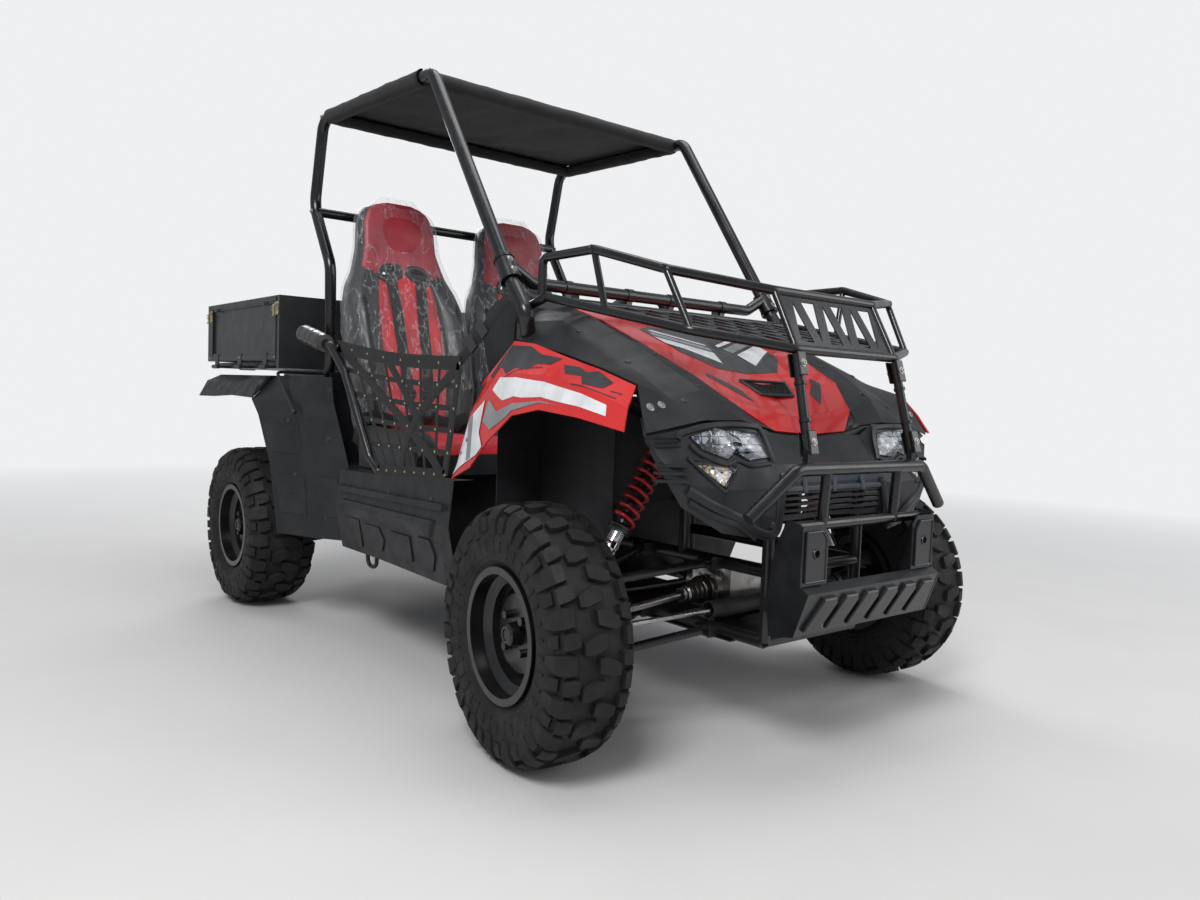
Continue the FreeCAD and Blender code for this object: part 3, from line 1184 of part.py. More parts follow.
def bed_shape():
    """Pressed floor on two beams, headboard, and the fixed half of every hinge."""
    half, front, length = D["bed_half_width"], BED_FRONT, D["bed_length"]
    floor, deep, gate = D["bed_floor_z"], D["bed_floor_thickness"], D["gate_thickness"]
    edge = 13
    top = floor + D["bed_height"]
    rear = front + length
    solids = [between((-half + gate + edge, front, floor - deep),
                      (half - gate - edge, rear - gate - edge, floor)),
              between((-half, front, floor - deep), (half, front + gate, top))]
    ribs = 8
    for n in range(ribs):
        x = (n - (ribs - 1) / 2) * 150
        solids.append(between((x - 20, front + gate, floor - 1), (x + 20, rear - gate - edge - 12, floor + 4)))
    for x in (-BED_RAIL_X, BED_RAIL_X):
        pivot = at(x, PIVOT_Y, D["bed_pivot_z"])
        beam = between((x - 20, aft(1870), D["bed_pivot_z"] - BEAM_END_RADIUS),
                       (x + 20, PIVOT_Y, floor - deep + 1))
        round_end = rod(pivot - Vec(20, 0, 0), pivot + Vec(20, 0, 0), BEAM_END_RADIUS)
        web = between((x - 20, PIVOT_Y - 1, D["bed_pivot_z"]), (x + 20, PIVOT_Y + 30, floor - deep + 1))
        bore = rod(pivot - Vec(30, 0, 0), pivot + Vec(30, 0, 0), 8 + GAP)
        solids.append(beam.fuse(round_end).fuse(web).cut(bore))
    for y in hinge_row(front + gate, rear - gate):
        for side in (RIGHT, LEFT):
            pin = at(side * HINGE_X, y, HINGE_Z)
            solids.append(rod(pin - Vec(0, 36, 0), pin + Vec(0, 36, 0), BARREL_PIN))
            for step in (-30, 30):
                x0, x1 = sorted((side * (half - gate - edge - 5), side * HINGE_X))
                solids.append(between((x0, y + step - 6, HINGE_Z - 5), (x1, y + step + 6, HINGE_Z + 5)))
                solids.append(rod(pin + Vec(0, step - 6, 0), pin + Vec(0, step + 6, 0), BARREL))
    for x in hinge_row(-half, half):
        pin = at(x, HINGE_Y, HINGE_Z)
        solids.append(rod(pin - Vec(36, 0, 0), pin + Vec(36, 0, 0), BARREL_PIN))
        for step in (-30, 30):
            solids.append(between((x + step - 6, rear - gate - edge - 5, HINGE_Z - 5),
                                  (x + step + 6, HINGE_Y, HINGE_Z + 5)))
            solids.append(rod(pin + Vec(step - 6, 0, 0), pin + Vec(step + 6, 0, 0), BARREL))
    return fused(solids)


def side_shape():
    """Drop side: framed panel with a shallow recess, and its hinge sleeves."""
    half, front, length = D["bed_half_width"], BED_FRONT, D["bed_length"]
    gate, gap = D["gate_thickness"], D["gate_gap"]
    low, top = D["bed_floor_z"] + 5, D["bed_floor_z"] + D["bed_height"]
    y0, y1 = front + gate + gap, front + length - gate - gap
    solids = [between((half - gate, y0, low), (half, y1, top))]
    for y in hinge_row(front + gate, front + length - gate):
        pin = at(HINGE_X, y, HINGE_Z)
        solids.append(rod(pin - Vec(0, 22, 0), pin + Vec(0, 22, 0), BARREL))
        solids.append(between((half - 1, y - 22, HINGE_Z), (half + 5, y + 22, low + 30)))
    panel = fused(solids)
    recess = between((half - 7, y0 + 34, low + 34), (half + 2, y1 - 34, top - 30))
    ends = [rod(at(HINGE_X, y - 40, HINGE_Z), at(HINGE_X, y + 40, HINGE_Z), BARREL_PIN + GAP)
            for y in hinge_row(front + gate, front + length - gate)]
    return panel.cut(recess).cut(Part.makeCompound(ends))


def tailgate_shape():
    half, front, length = D["bed_half_width"], BED_FRONT, D["bed_length"]
    gate = D["gate_thickness"]
    low, top = D["bed_floor_z"] + 5, D["bed_floor_z"] + D["bed_height"]
    rear = front + length
    solids = [between((-half, rear - gate, low), (half, rear, top))]
    for x in hinge_row(-half, half):
        pin = at(x, HINGE_Y, HINGE_Z)
        solids.append(rod(pin - Vec(22, 0, 0), pin + Vec(22, 0, 0), BARREL))
        solids.append(between((x - 22, rear - 1, HINGE_Z), (x + 22, rear + 5, low + 30)))
    panel = fused(solids)
    recess = between((-half + 40, rear - 7, low + 34), (half - 40, rear + 2, top - 30))
    ends = [rod(at(x - 40, HINGE_Y, HINGE_Z), at(x + 40, HINGE_Y, HINGE_Z), BARREL_PIN + GAP)
            for x in hinge_row(-half, half)]
    return panel.cut(recess).cut(Part.makeCompound(ends))


feature("bed", bed_shape())
feature("bed_side_left", side_shape())
feature("bed_side_right", mirrored(side_shape()))
feature("tailgate", tailgate_shape())


# Power unit
def make_power():
    engine = between((-190, aft(1120), 309), (190, aft(1600), 590))
    mounts = []
    for y in (aft(1180), aft(1500)):
        mounts.append(between((-D["cab_rail_x"] + D["frame_radius"] + GAP, y, 283),
                              (D["cab_rail_x"] - D["frame_radius"] - GAP, y + 60, 297)))
    foot = [between((x - 30, aft(1180), 290), (x + 30, aft(1560), 312)) for x in (-150, 150)]
    feature("engine", fused([engine] + mounts + foot))
    can_y, can_z = aft(2200), 560
    can = rod(at(-205, can_y, can_z), at(205, can_y, can_z), 62)
    rest_z = D["upper_arm_z"] + D["frame_radius"] + GAP
    saddles = [between((x - 8, can_y - 20, rest_z), (x + 8, can_y + 20, 520))
               for x in (-D["rail_x"], D["rail_x"])]
    pipe = tube([at(-150, can_y, can_z), at(-150, can_y + 130, can_z), at(-150, can_y + 200, 500)], 20, 30)
    feature("muffler", fused([can, pipe] + saddles))


make_power()

doc.recompute()
faults = [o.Name for o in doc.Objects if "Invalid" in o.State or "Error" in o.State]
faults += [p.Label for p in parts if p.Shape.isNull() or not p.Shape.isValid()]
if faults:
    raise RuntimeError("not made: " + ", ".join(faults))
os.makedirs("parts", exist_ok=True)
for made in parts:
    made.Shape.exportStep("parts/%s.step" % made.Label)
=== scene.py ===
import json
import math

import bmesh
import bpy
from mathutils import Matrix, Vector, noise
from mathutils.bvhtree import BVHTree


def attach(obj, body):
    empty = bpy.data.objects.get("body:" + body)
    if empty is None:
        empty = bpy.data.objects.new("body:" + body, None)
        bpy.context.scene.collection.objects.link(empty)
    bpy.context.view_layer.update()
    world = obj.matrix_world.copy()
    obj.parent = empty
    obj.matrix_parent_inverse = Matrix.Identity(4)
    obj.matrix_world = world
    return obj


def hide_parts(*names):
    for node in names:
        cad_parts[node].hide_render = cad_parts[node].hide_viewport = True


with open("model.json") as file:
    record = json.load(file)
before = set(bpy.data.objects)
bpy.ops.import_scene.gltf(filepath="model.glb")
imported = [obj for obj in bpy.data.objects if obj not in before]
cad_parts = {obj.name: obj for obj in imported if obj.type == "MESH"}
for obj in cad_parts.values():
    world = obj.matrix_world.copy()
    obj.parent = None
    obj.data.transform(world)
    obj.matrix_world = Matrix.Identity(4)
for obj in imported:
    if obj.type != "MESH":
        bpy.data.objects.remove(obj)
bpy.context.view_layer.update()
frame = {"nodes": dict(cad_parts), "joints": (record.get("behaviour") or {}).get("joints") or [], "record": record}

# Places are in millimetres: x from the centre plane, y from the front axle, z from the ground. The radii,
# widths and profiles of the small forms built on them are in metres, apart from the bolts' and collars'.
MM = 0.001
JOINTS = {joint["name"]: joint for joint in frame["joints"]}
FRONT_HUB = JOINTS["steer_left"]["pos_m"]
FRONT_AXLE_Y, AXLE_Z = FRONT_HUB[1] / MM, FRONT_HUB[2] / MM
# The rear axle's place as measured from the front one.
REAR_AXLE = (JOINTS["spin_rear_left"]["pos_m"][1] - FRONT_HUB[1]) / MM
RIGHT, LEFT = -1, 1
HANDS = ((RIGHT, "right"), (LEFT, "left"))
ROOT = "chassis"
X_AXIS, Y_AXIS, Z_AXIS = Vector((1, 0, 0)), Vector((0, 1, 0)), Vector((0, 0, 1))


def at(x, y, z):
    return Vector((x, y + FRONT_AXLE_Y, z)) * MM


def turns_of(count):
    """Angles that cut a full turn into even steps."""
    return [math.tau * n / count for n in range(count)]


def spaced(low, high, count):
    return [low + (high - low) * (n / count) for n in range(count + 1)]


def round_pairs(points):
    """Each point of a closed line with the next one."""
    return zip(points, points[1:] + points[:1])


def signed_power(value, power):
    return math.copysign(abs(value) ** power, value)


# Materials
class Shade:
    """One procedural material, built by adding textures to its shader."""

    def __init__(self, name, colour, roughness, metallic=0.0, **settings):
        self.mat = bpy.data.materials.new(name)
        self.mat.use_nodes = True
        self.tree = self.mat.node_tree
        self.shader = self.tree.nodes["Principled BSDF"]
        self.set("Base Color", (*colour, 1))
        self.set("Roughness", roughness)
        self.set("Metallic", metallic)
        for label, number in settings.items():
            self.set(label.replace("_", " "), number)
        self.place = self.node("ShaderNodeTexCoord").outputs["Object"]
        self.normal = None
        self.mat.diffuse_color = (*colour, 1)

    def set(self, label, number):
        self.shader.inputs[label].default_value = number

    def node(self, kind, inputs=None, **settings):
        made = self.tree.nodes.new(kind)
        for key, item in settings.items():
            setattr(made, key, item)
        for key, item in (inputs or {}).items():
            self.feed(made.inputs[key], item)
        return made

    def feed(self, socket, item):
        """Links a texture to a socket, or sets the socket's plain value."""
        if isinstance(item, bpy.types.NodeSocket):
            self.tree.links.new(item, socket)
        else:
            socket.default_value = item

    def stretched(self, scale):
        return self.node("ShaderNodeVectorMath", {0: self.place, 1: scale}, operation="MULTIPLY").outputs[0]

    def noise(self, scale, detail=4.0, rough=0.55, stretch=(1, 1, 1)):
        """Cloudy pattern from 0 to 1; scale is how many patches fit in a metre."""
        return self.node("ShaderNodeTexNoise", {"Vector": self.stretched(stretch), "Scale": scale,
                                                "Detail": detail, "Roughness": rough}).outputs["Fac"]

    def cells(self, scale):
        return self.node("ShaderNodeTexVoronoi", {"Vector": self.place, "Scale": scale}).outputs["Distance"]

    def wave(self, scale, axis):
        inputs = {"Vector": self.place, "Scale": scale}
        return self.node("ShaderNodeTexWave", inputs, bands_direction=axis).outputs["Fac"]

    def math(self, kind, a, b=0.5):
        return self.node("ShaderNodeMath", {0: a, 1: b}, operation=kind).outputs[0]

    def fit(self, amount, low, high, to_low=0.0, to_high=1.0):
        return self.node("ShaderNodeMapRange", {0: amount, 1: low, 2: high, 3: to_low, 4: to_high}).outputs[0]

    def mix(self, amount, first, second):
        made = self.node("ShaderNodeMix", data_type="RGBA")
        for slot, item in ((0, amount), (6, first), (7, second)):
            self.feed(made.inputs[slot], (*item, 1) if isinstance(item, tuple) else item)
        return made.outputs[2]

    def paint(self, colour):
        self.tree.links.new(colour, self.shader.inputs["Base Color"])
        return self

    def mottle(self, first, second, scale, low=0.35, high=0.65):
        """Colour that drifts between two tones."""
        return self.paint(self.mix(self.fit(self.noise(scale, 5.0), low, high), first, second))

    def drift(self, scale, low, high):
        """Roughness that varies over the surface."""
        varied = self.fit(self.noise(scale, 5.0), 0.3, 0.7, low, high)
        self.tree.links.new(varied, self.shader.inputs["Roughness"])
        return self

    def bump(self, height, distance, strength):
        made = self.node("ShaderNodeBump", {"Height": height, "Distance": distance, "Strength": strength})
        if self.normal is not None:
            self.tree.links.new(self.normal, made.inputs["Normal"])
        self.normal = made.outputs[0]
        self.tree.links.new(self.normal, self.shader.inputs["Normal"])
        return self


def toned(colour, gain, lift=0.0):
    """A colour made brighter or darker."""
    return tuple(min(1.0, c * gain + lift) for c in colour)


def rubber():
    shade = Shade("tyre_rubber", (0.01, 0.01, 0.0105), 0.7, Specular_IOR_Level=0.3)
    dust = shade.fit(shade.noise(9.0, 6.0), 0.52, 0.75, 0.0, 0.3)
    dark = shade.mix(shade.noise(40.0), (0.007, 0.007, 0.0075), (0.015, 0.0145, 0.0145))
    shade.paint(shade.mix(dust, dark, (0.05, 0.045, 0.038))).drift(25.0, 0.5, 0.8)
    return shade.bump(shade.noise(900.0, 3.0), 0.0005, 0.6).bump(shade.noise(60.0), 0.001, 0.4).mat


def powder_coat(name, colour, roughness):
    """Glossy baked coat on steel tube, slightly pebbled, with a film of dust."""
    shade = Shade(name, colour, roughness, Coat_Weight=0.25, Coat_Roughness=0.12)
    dust = shade.fit(shade.noise(7.0, 6.0), 0.5, 0.8, 0.0, 0.16)
    shade.paint(shade.mix(dust, colour, toned(colour, 1.0, 0.045)))
    shade.drift(14.0, roughness - 0.06, roughness + 0.12)
    return shade.bump(shade.noise(420.0, 2.0), 0.0002, 0.35).mat


def moulded(name, colour, roughness):
    """Grained black plastic panel with faint scuffs and dust in the grain."""
    shade = Shade(name, colour, roughness, Specular_IOR_Level=0.42)
    clouds = shade.fit(shade.noise(5.0, 7.0, 0.62), 0.38, 0.7)
    tone = shade.mix(clouds, colour, toned(colour, 1.6, 0.005))
    scuff = shade.fit(shade.noise(30.0, 8.0, 0.7, (1, 0.15, 1)), 0.6, 0.72, 0.0, 0.25)
    shade.paint(shade.mix(scuff, tone, toned(colour, 1.0, 0.022)))
    shade.drift(18.0, roughness - 0.1, roughness + 0.13)
    return shade.bump(shade.cells(700.0), 0.0004, 0.5).bump(shade.noise(16.0), 0.0012, 0.18).mat


def steel(name, colour, roughness, rust=0.0):
    shade = Shade(name, colour, roughness, 1.0)
    tone = shade.mix(shade.noise(60.0, 4.0, 0.6, (1, 1, 0.2)), toned(colour, 0.75), toned(colour, 1.15))
    if rust:
        spots = shade.fit(shade.noise(22.0, 8.0, 0.7), 0.62 - 0.2 * rust, 0.75, 0.0, 0.8)
        tone = shade.mix(spots, tone, (0.11, 0.045, 0.02))
    shade.paint(tone).drift(40.0, roughness * 0.7, roughness * 1.5)
    return shade.bump(shade.noise(300.0), 0.0002, 0.4).mat


def cast(name, colour):
    shade = Shade(name, colour, 0.62, 0.35)
    shade.mottle(colour, toned(colour, 2.0), 16.0).drift(30.0, 0.5, 0.78)
    return shade.bump(shade.noise(260.0, 5.0), 0.0008, 0.6).mat


def canvas_cloth():
    """Woven cloth: two crossed sets of threads."""
    colour = (0.0045, 0.0045, 0.0052)
    shade = Shade("black_canvas", colour, 0.85, Sheen_Weight=0.12, Sheen_Roughness=0.5)
    threads = shade.math("ADD", shade.wave(700.0, "X"), shade.wave(700.0, "Y"))
    shade.paint(shade.mix(shade.fit(shade.noise(6.0, 6.0), 0.35, 0.7), colour, toned(colour, 2.0, 0.003)))
    return shade.bump(threads, 0.0006, 0.5).bump(shade.noise(14.0), 0.003, 0.25).mat


def webbing_cloth():
    shade = Shade("black_webbing", (0.005, 0.005, 0.0055), 0.8, Sheen_Weight=0.08, Sheen_Roughness=0.4)
    ribs = shade.wave(380.0, "DIAGONAL")
    shade.paint(shade.mix(shade.noise(30.0), (0.003, 0.003, 0.0034), (0.010, 0.010, 0.011)))
    return shade.bump(ribs, 0.0008, 0.7).mat


def red_paint():
    """Red gloss plastic with a clear top coat, fine scratches and a faint dulling."""
    shade = Shade("red_gloss", (0.62, 0.012, 0.01), 0.3, Coat_Weight=0.6, Coat_Roughness=0.08)
    shade.mottle((0.66, 0.014, 0.011), (0.5, 0.008, 0.009), 4.0, 0.3, 0.75).drift(12.0, 0.22, 0.4)
    return shade.bump(shade.noise(40.0, 3.0), 0.0004, 0.2).mat


def sticker(name, colour, roughness=0.32):
    shade = Shade(name, colour, roughness, Coat_Weight=0.4, Coat_Roughness=0.15)
    shade.mottle(colour, toned(colour, 1.25, 0.01), 18.0).drift(20.0, roughness - 0.08, roughness + 0.1)
    return shade.bump(shade.noise(120.0, 3.0), 0.0002, 0.25).mat


def vinyl(name, colour, roughness=0.42):
    """Seat cover with fine leather grain and soft creases."""
    shade = Shade(name, colour, roughness, Sheen_Weight=0.12, Coat_Weight=0.1, Coat_Roughness=0.3)
    shade.mottle(toned(colour, 0.62), colour, 9.0, 0.3, 0.6).drift(16.0, roughness - 0.08, roughness + 0.14)
    return shade.bump(shade.cells(330.0), 0.0005, 0.5).bump(shade.noise(24.0, 5.0), 0.0022, 0.4).mat


def film():
    """Clear plastic wrap: almost invisible apart from its glints, fine creases, painted glints and a painted
    sheen.
    """
    shade = Shade("plastic_wrap", (0.86, 0.88, 0.9), 0.1, Coat_Weight=0.8, Coat_Roughness=0.05,
                  Specular_IOR_Level=0.8)
    folds = shade.noise(11.0, 5.0, 0.6, (1.3, 1.3, 0.35))
    # Painted glints: thin whitish lines of higher opacity along the contours of the folds' noise.
    lines = shade.fit(shade.math("ABSOLUTE", shade.math("SUBTRACT", folds, 0.5)), 0.0, 0.016, 0.26, 0.0)
    # Painted sheen: the film grows more opaque and whiter, from 0.05 facing the camera to 0.3 at grazing angles.
    facing = shade.node("ShaderNodeLayerWeight", {"Blend": 0.35}).outputs["Facing"]
    painted_grazing_sheen = shade.fit(facing, 0.2, 1.0, 0.05, 0.3)
    shade.tree.links.new(shade.math("ADD", painted_grazing_sheen, lines), shade.shader.inputs["Alpha"])
    shade.bump(folds, 0.03, 0.9).bump(shade.noise(42.0, 4.0, 0.6, (1, 1, 0.4)), 0.008, 0.7)
    return shade.mat


def clear_glass():
    shade = Shade("clear_lens", (0.93, 0.96, 1.0), 0.04, IOR=1.45, Transmission_Weight=1.0)
    shade.drift(40.0, 0.02, 0.08)
    return shade.bump(shade.noise(55.0, 2.0), 0.0004, 0.25).mat


def chrome():
    shade = Shade("chrome", (0.82, 0.83, 0.85), 0.08, 1.0)
    shade.mottle((0.7, 0.71, 0.73), (0.92, 0.93, 0.95), 40.0).drift(30.0, 0.04, 0.16)
    return shade.mat


def glow(name, colour, strength):
    shade = Shade(name, colour, 0.3, Emission_Strength=strength)
    shade.set("Emission Color", (*colour, 1))
    return shade.bump(shade.noise(500.0), 0.0003, 0.4).mat


def zinc():
    """Yellow passivated zinc of the bed's latches."""
    shade = Shade("yellow_zinc", (0.62, 0.5, 0.26), 0.32, 1.0)
    shade.mottle((0.55, 0.42, 0.2), (0.72, 0.66, 0.44), 60.0).drift(60.0, 0.22, 0.45)
    return shade.bump(shade.noise(300.0), 0.0002, 0.3).mat


def grille_plastic():
    shade = Shade("bluish_plastic", (0.05, 0.062, 0.078), 0.38)
    shade.mottle((0.04, 0.05, 0.065), (0.075, 0.088, 0.105), 7.0).drift(20.0, 0.3, 0.5)
    return shade.bump(shade.cells(700.0), 0.0003, 0.4).mat


MATERIALS = {
    "tyre": rubber(),
    "rim": powder_coat("rim_black", (0.005, 0.005, 0.0055), 0.32),
    "cast_steel": cast("cast_steel", (0.035, 0.034, 0.033)),
    "bright_steel": steel("zinc_steel", (0.5, 0.5, 0.48), 0.3, 0.15),
    "black_tube": powder_coat("gloss_black_tube", (0.005, 0.005, 0.006), 0.24),
    "spring_red": powder_coat("spring_red", (0.36, 0.008, 0.01), 0.3),
    "drive_steel": steel("drive_steel", (0.48, 0.47, 0.45), 0.34, 0.4),
    "grip": moulded("wheel_grip", (0.016, 0.016, 0.017), 0.6),
    "frame_black": powder_coat("frame_black", (0.006, 0.006, 0.0065), 0.4),
    "canvas": canvas_cloth(),
    "black_plastic": moulded("black_plastic", (0.0085, 0.009, 0.0105), 0.44),
    "red_body": red_paint(),
    "nose_plastic": moulded("nose_plastic", (0.0085, 0.0092, 0.011), 0.42),
    "lens": clear_glass(),
    "guard_black": powder_coat("guard_black", (0.008, 0.0085, 0.010), 0.36),
    "seat_fabric": vinyl("seat_red", (0.64, 0.016, 0.028)),
    "webbing": webbing_cloth(),
    "bed_grey": powder_coat("bed_grey", (0.017, 0.018, 0.020), 0.42),
    "engine_metal": cast("engine_alloy", (0.12, 0.12, 0.12)),
    "muffler_metal": steel("muffler_steel", (0.36, 0.33, 0.3), 0.45, 0.6),
}
CHROME = chrome()
ZINC = zinc()
SEAT_DARK = vinyl("seat_black", (0.022, 0.023, 0.026), 0.4)
SEAT_MAROON = vinyl("seat_maroon", (0.38, 0.016, 0.034), 0.45)
WRAP = film()
BLACK_STICKER = sticker("black_sticker", (0.014, 0.014, 0.016))
WHITE_STICKER = sticker("white_sticker", (0.62, 0.63, 0.64))
GREY_STICKER = sticker("grey_sticker", (0.2, 0.205, 0.21))
BOLT = steel("bolt_steel", (0.42, 0.42, 0.4), 0.35, 0.1)
BLACK_BOLT = powder_coat("bolt_black", (0.02, 0.02, 0.02), 0.36)
BRASS = steel("brass_rivet", (0.72, 0.6, 0.36), 0.28)
AMBER = glow("amber_led", (0.85, 0.62, 0.34), 0.25)
MESH_BLACK = moulded("vent_black", (0.008, 0.008, 0.009), 0.6)
GRILLE = grille_plastic()
FOAM = moulded("grey_foam", (0.075, 0.072, 0.066), 0.75)
PALE_LENS = glow("pale_lens", (0.75, 0.78, 0.8), 0.25)
SCREEN = sticker("dark_screen", (0.006, 0.009, 0.012), 0.12)
TAIL_RED = sticker("tail_red", (0.5, 0.008, 0.01), 0.2)


# Mesh building
class Build:
    """Collects vertices and faces of many small forms into one mesh."""

    def __init__(self):
        self.vertices, self.faces, self.spots = [], [], []

    def add(self, vertices, faces, spot=0):
        base = len(self.vertices)
        self.vertices += list(vertices)
        self.faces += [tuple(base + i for i in face) for face in faces]
        self.spots += [spot] * len(faces)

    def grid(self, rows, spot=0, loop=False, closed=False, pick=None):
        """Quads between rows of points; loop joins each row's ends, closed joins the last row to the first.
        pick gives a material number, or None for a hole, from a quad's row and column."""
        wide = len(rows[0])
        base = len(self.vertices)
        for row in rows:
            self.vertices += list(row)
        for j in range(len(rows) if closed else len(rows) - 1):
            for i in range(wide if loop else wide - 1):
                chosen = pick(j, i) if pick else spot
                if chosen is None:
                    continue
                a, b = base + j * wide, base + (j + 1) % len(rows) * wide
                self.faces.append((a + i, a + (i + 1) % wide, b + (i + 1) % wide, b + i))
                self.spots.append(chosen)

    def cap(self, row, spot=0, flip=False):
        self.add(row, [tuple(range(len(row)))[:: -1 if flip else 1]], spot)

    def closed_grid(self, rows, spot):
        """A tube of rows with a cap on each end."""
        self.grid(rows, spot, loop=True)
        self.cap(rows[0], spot, True)
        self.cap(rows[-1], spot)

    def mirror(self):
        """Adds the twin of everything across the centre plane."""
        twin = [Vector((-v[0], v[1], v[2])) for v in self.vertices]
        base = len(self.vertices)
        self.vertices += twin
        self.faces += [tuple(base + i for i in face[::-1]) for face in self.faces]
        self.spots += self.spots

    def make(self, name, material, body, smooth=35.0, extra=()):
        """A mesh object of all that was collected, riding on a body; smooth is an angle in degrees."""
        mesh = bpy.data.meshes.new(name)
        mesh.from_pydata([tuple(v) for v in self.vertices], [], self.faces)
        for item in (material, *extra):
            mesh.materials.append(item)
        mesh.polygons.foreach_set("material_index", self.spots)
        mesh.validate()
        obj = bpy.data.objects.new(name, mesh)
        bpy.context.scene.collection.objects.link(obj)
        mesh.polygons.foreach_set("use_smooth", [True] * len(mesh.polygons))
        mesh.set_sharp_from_angle(angle=math.radians(smooth))
        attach(obj, body)
        return obj


def thicken(obj, amount):
    """Gives a sheet its thickness, in millimetres, half to each side."""
    thick = obj.modifiers.new("thickness", "SOLIDIFY")
    thick.thickness, thick.offset = amount * MM, 0


def frame_of(along):
    """Two directions square to a direction."""
    along = along.normalized()
    side = along.cross(Z_AXIS)
    if side.length < 0.01:
        side = along.cross(Y_AXIS)
    side.normalize()
    return side, along.cross(side)


def circle(centre, along, radius, count):
    side, up = frame_of(along)
    return [centre + (side * math.cos(a) + up * math.sin(a)) * radius for a in turns_of(count)]


def band(low, high, inner, outer):
    """Profile of a ring between two distances along the axis and two radii."""
    return [(low, inner), (low, outer), (high, outer), (high, inner)]


def lathe(build, centre, along, profile, count, spot=0):
    """Turns a profile of (distance along the axis, radius) about an axis, in metres."""
    along = along.normalized()
    build.grid([circle(centre + along * u, along, max(r, 1e-5), count) for u, r in profile], spot, loop=True)


def sweep(build, points, radius, count, spot=0, flat=1.0, side=None):
    """Tube along a line of points; flat squeezes its section across the side direction."""
    rows = []
    for i, point in enumerate(points):
        ahead = (points[min(i + 1, len(points) - 1)] - points[max(i - 1, 0)]).normalized()
        if side is None:
            side = frame_of(ahead)[0]
        side = (side - ahead * side.dot(ahead)).normalized()
        up = ahead.cross(side)
        rows.append([point + side * (math.cos(a) * radius) + up * (math.sin(a) * radius * flat)
                     for a in turns_of(count)])
    build.closed_grid(rows, spot)


def ribbon(build, points, across, width, thick, spot=0):
    """Flat strap along points; across holds its width direction at each point, or one for all."""
    rows = []
    for i, point in enumerate(points):
        ahead = (points[min(i + 1, len(points) - 1)] - points[max(i - 1, 0)]).normalized()
        wide = across[i] if isinstance(across, list) else across
        wide = (wide - ahead * wide.dot(ahead)).normalized()
        out = ahead.cross(wide).normalized() * (thick / 2)
        half = wide * (width / 2)
        rim = wide * min(thick, width / 4)
        rows.append([point - half, point - half + rim + out, point + half - rim + out, point + half,
                     point + half - rim - out, point - half + rim - out])
    build.closed_grid(rows, spot)


def smooth_line(points, per_span):
    """Catmull-Rom curve through the points."""
    line = []
    padded = [points[0] * 2 - points[1], *points, points[-1] * 2 - points[-2]]
    for a, b, c, d in zip(padded, padded[1:], padded[2:], padded[3:]):
        for n in range(per_span):
            t = n / per_span
            line.append(0.5 * (2 * b + (c - a) * t + (2 * a - 5 * b + 4 * c - d) * t * t
                               + (3 * b - a - 3 * c + d) * t ** 3))
    return line + [points[-1]]


def border(build, corners, radius, sides):
    """Thin bead round a closed outline of straight edges."""
    for a, b in round_pairs(corners):
        sweep(build, [a, a.lerp(b, 0.5), b], radius, sides)


def bolt(build, place, out, radius, height, spot, sides=6):
    """Screw head on its washer, in millimetres; six sides make a hexagon and more a round head."""
    out = out.normalized()
    r, h = radius * MM, height * MM
    washer = [(-0.001, r * 1.5), (0.0012, r * 1.5), (0.0017, r * 1.35), (0.0017, r * 0.8)]
    lathe(build, place, out, washer, 18, spot)
    head = [(0.0012, r), (h * 0.75, r), (h, r * 0.84), (h, r * 0.46), (h * 0.66, r * 0.4), (h * 0.66, 0)]
    lathe(build, place, out, head, sides, spot)


def slab(build, centre, axes, size, bevel=0.0, spot=0):
    """Box with chamfered edges round its top; the axes are unit vectors and size is full lengths."""
    x_axis, y_axis, z_axis = axes
    a, b, c = (s / 2 for s in size)
    layers = [(-c, 0), (c - bevel, 0), (c, bevel)] if bevel else [(-c, 0), (c, 0)]
    signs = ((-1, -1), (1, -1), (1, 1), (-1, 1))
    rows = [[centre + x_axis * (sx * (a - inset)) + y_axis * (sy * (b - inset)) + z_axis * w
             for sx, sy in signs]
            for w, inset in layers]
    build.closed_grid(rows, spot)


def steps_of(table, at_value):
    """Straight-line reading of a table of (value, result)."""
    if at_value <= table[0][0]:
        return table[0][1]
    for (a, p), (b, q) in zip(table, table[1:]):
        if at_value <= b:
            return p + (q - p) * (at_value - a) / (b - a)
    return table[-1][1]


def dress_frame():
    """Gives every CAD node the finish of its slot."""
    slots = {part["node"]: part["material_slot"] for part in frame["record"]["subparts"]}
    for node, obj in frame["nodes"].items():
        obj.data.materials.clear()
        obj.data.materials.append(MATERIALS[slots[node]])


dress_frame()


# Wheels
WHEELS = {end + "_" + hand: (side, end) for end in ("front", "rear") for side, hand in HANDS}
# Widths of the tyres, their radius, that of the bead, and the height of the lugs.
TYRE_WIDTH = {"front": 203, "rear": 254}
TYRE_RADIUS = AXLE_Z
BEAD = 152
LUG_HEIGHT = 14


def wheel_axis(name):
    """Middle of a wheel and its outward direction."""
    joint = JOINTS["spin_" + name]
    return Vector(joint["pos_m"]), Vector(joint["axis"]).normalized() * WHEELS[name][0]


def tyre_half(width):
    """Outer half of the carcass from the middle of the crown to the bead: distance out and radius."""
    crown, tall = TYRE_RADIUS - LUG_HEIGHT, TYRE_RADIUS - BEAD
    return [Vector((w * width, r, 0)) for w, r in (
        (0, crown + 1), (0.16, crown), (0.30, crown - 3), (0.415, crown - 0.085 * tall),
        (0.475, crown - 0.24 * tall), (0.497, crown - 0.42 * tall), (0.488, crown - 0.60 * tall),
        (0.45, BEAD + 0.19 * tall), (0.405, BEAD + 0.09 * tall), (0.37, BEAD))]


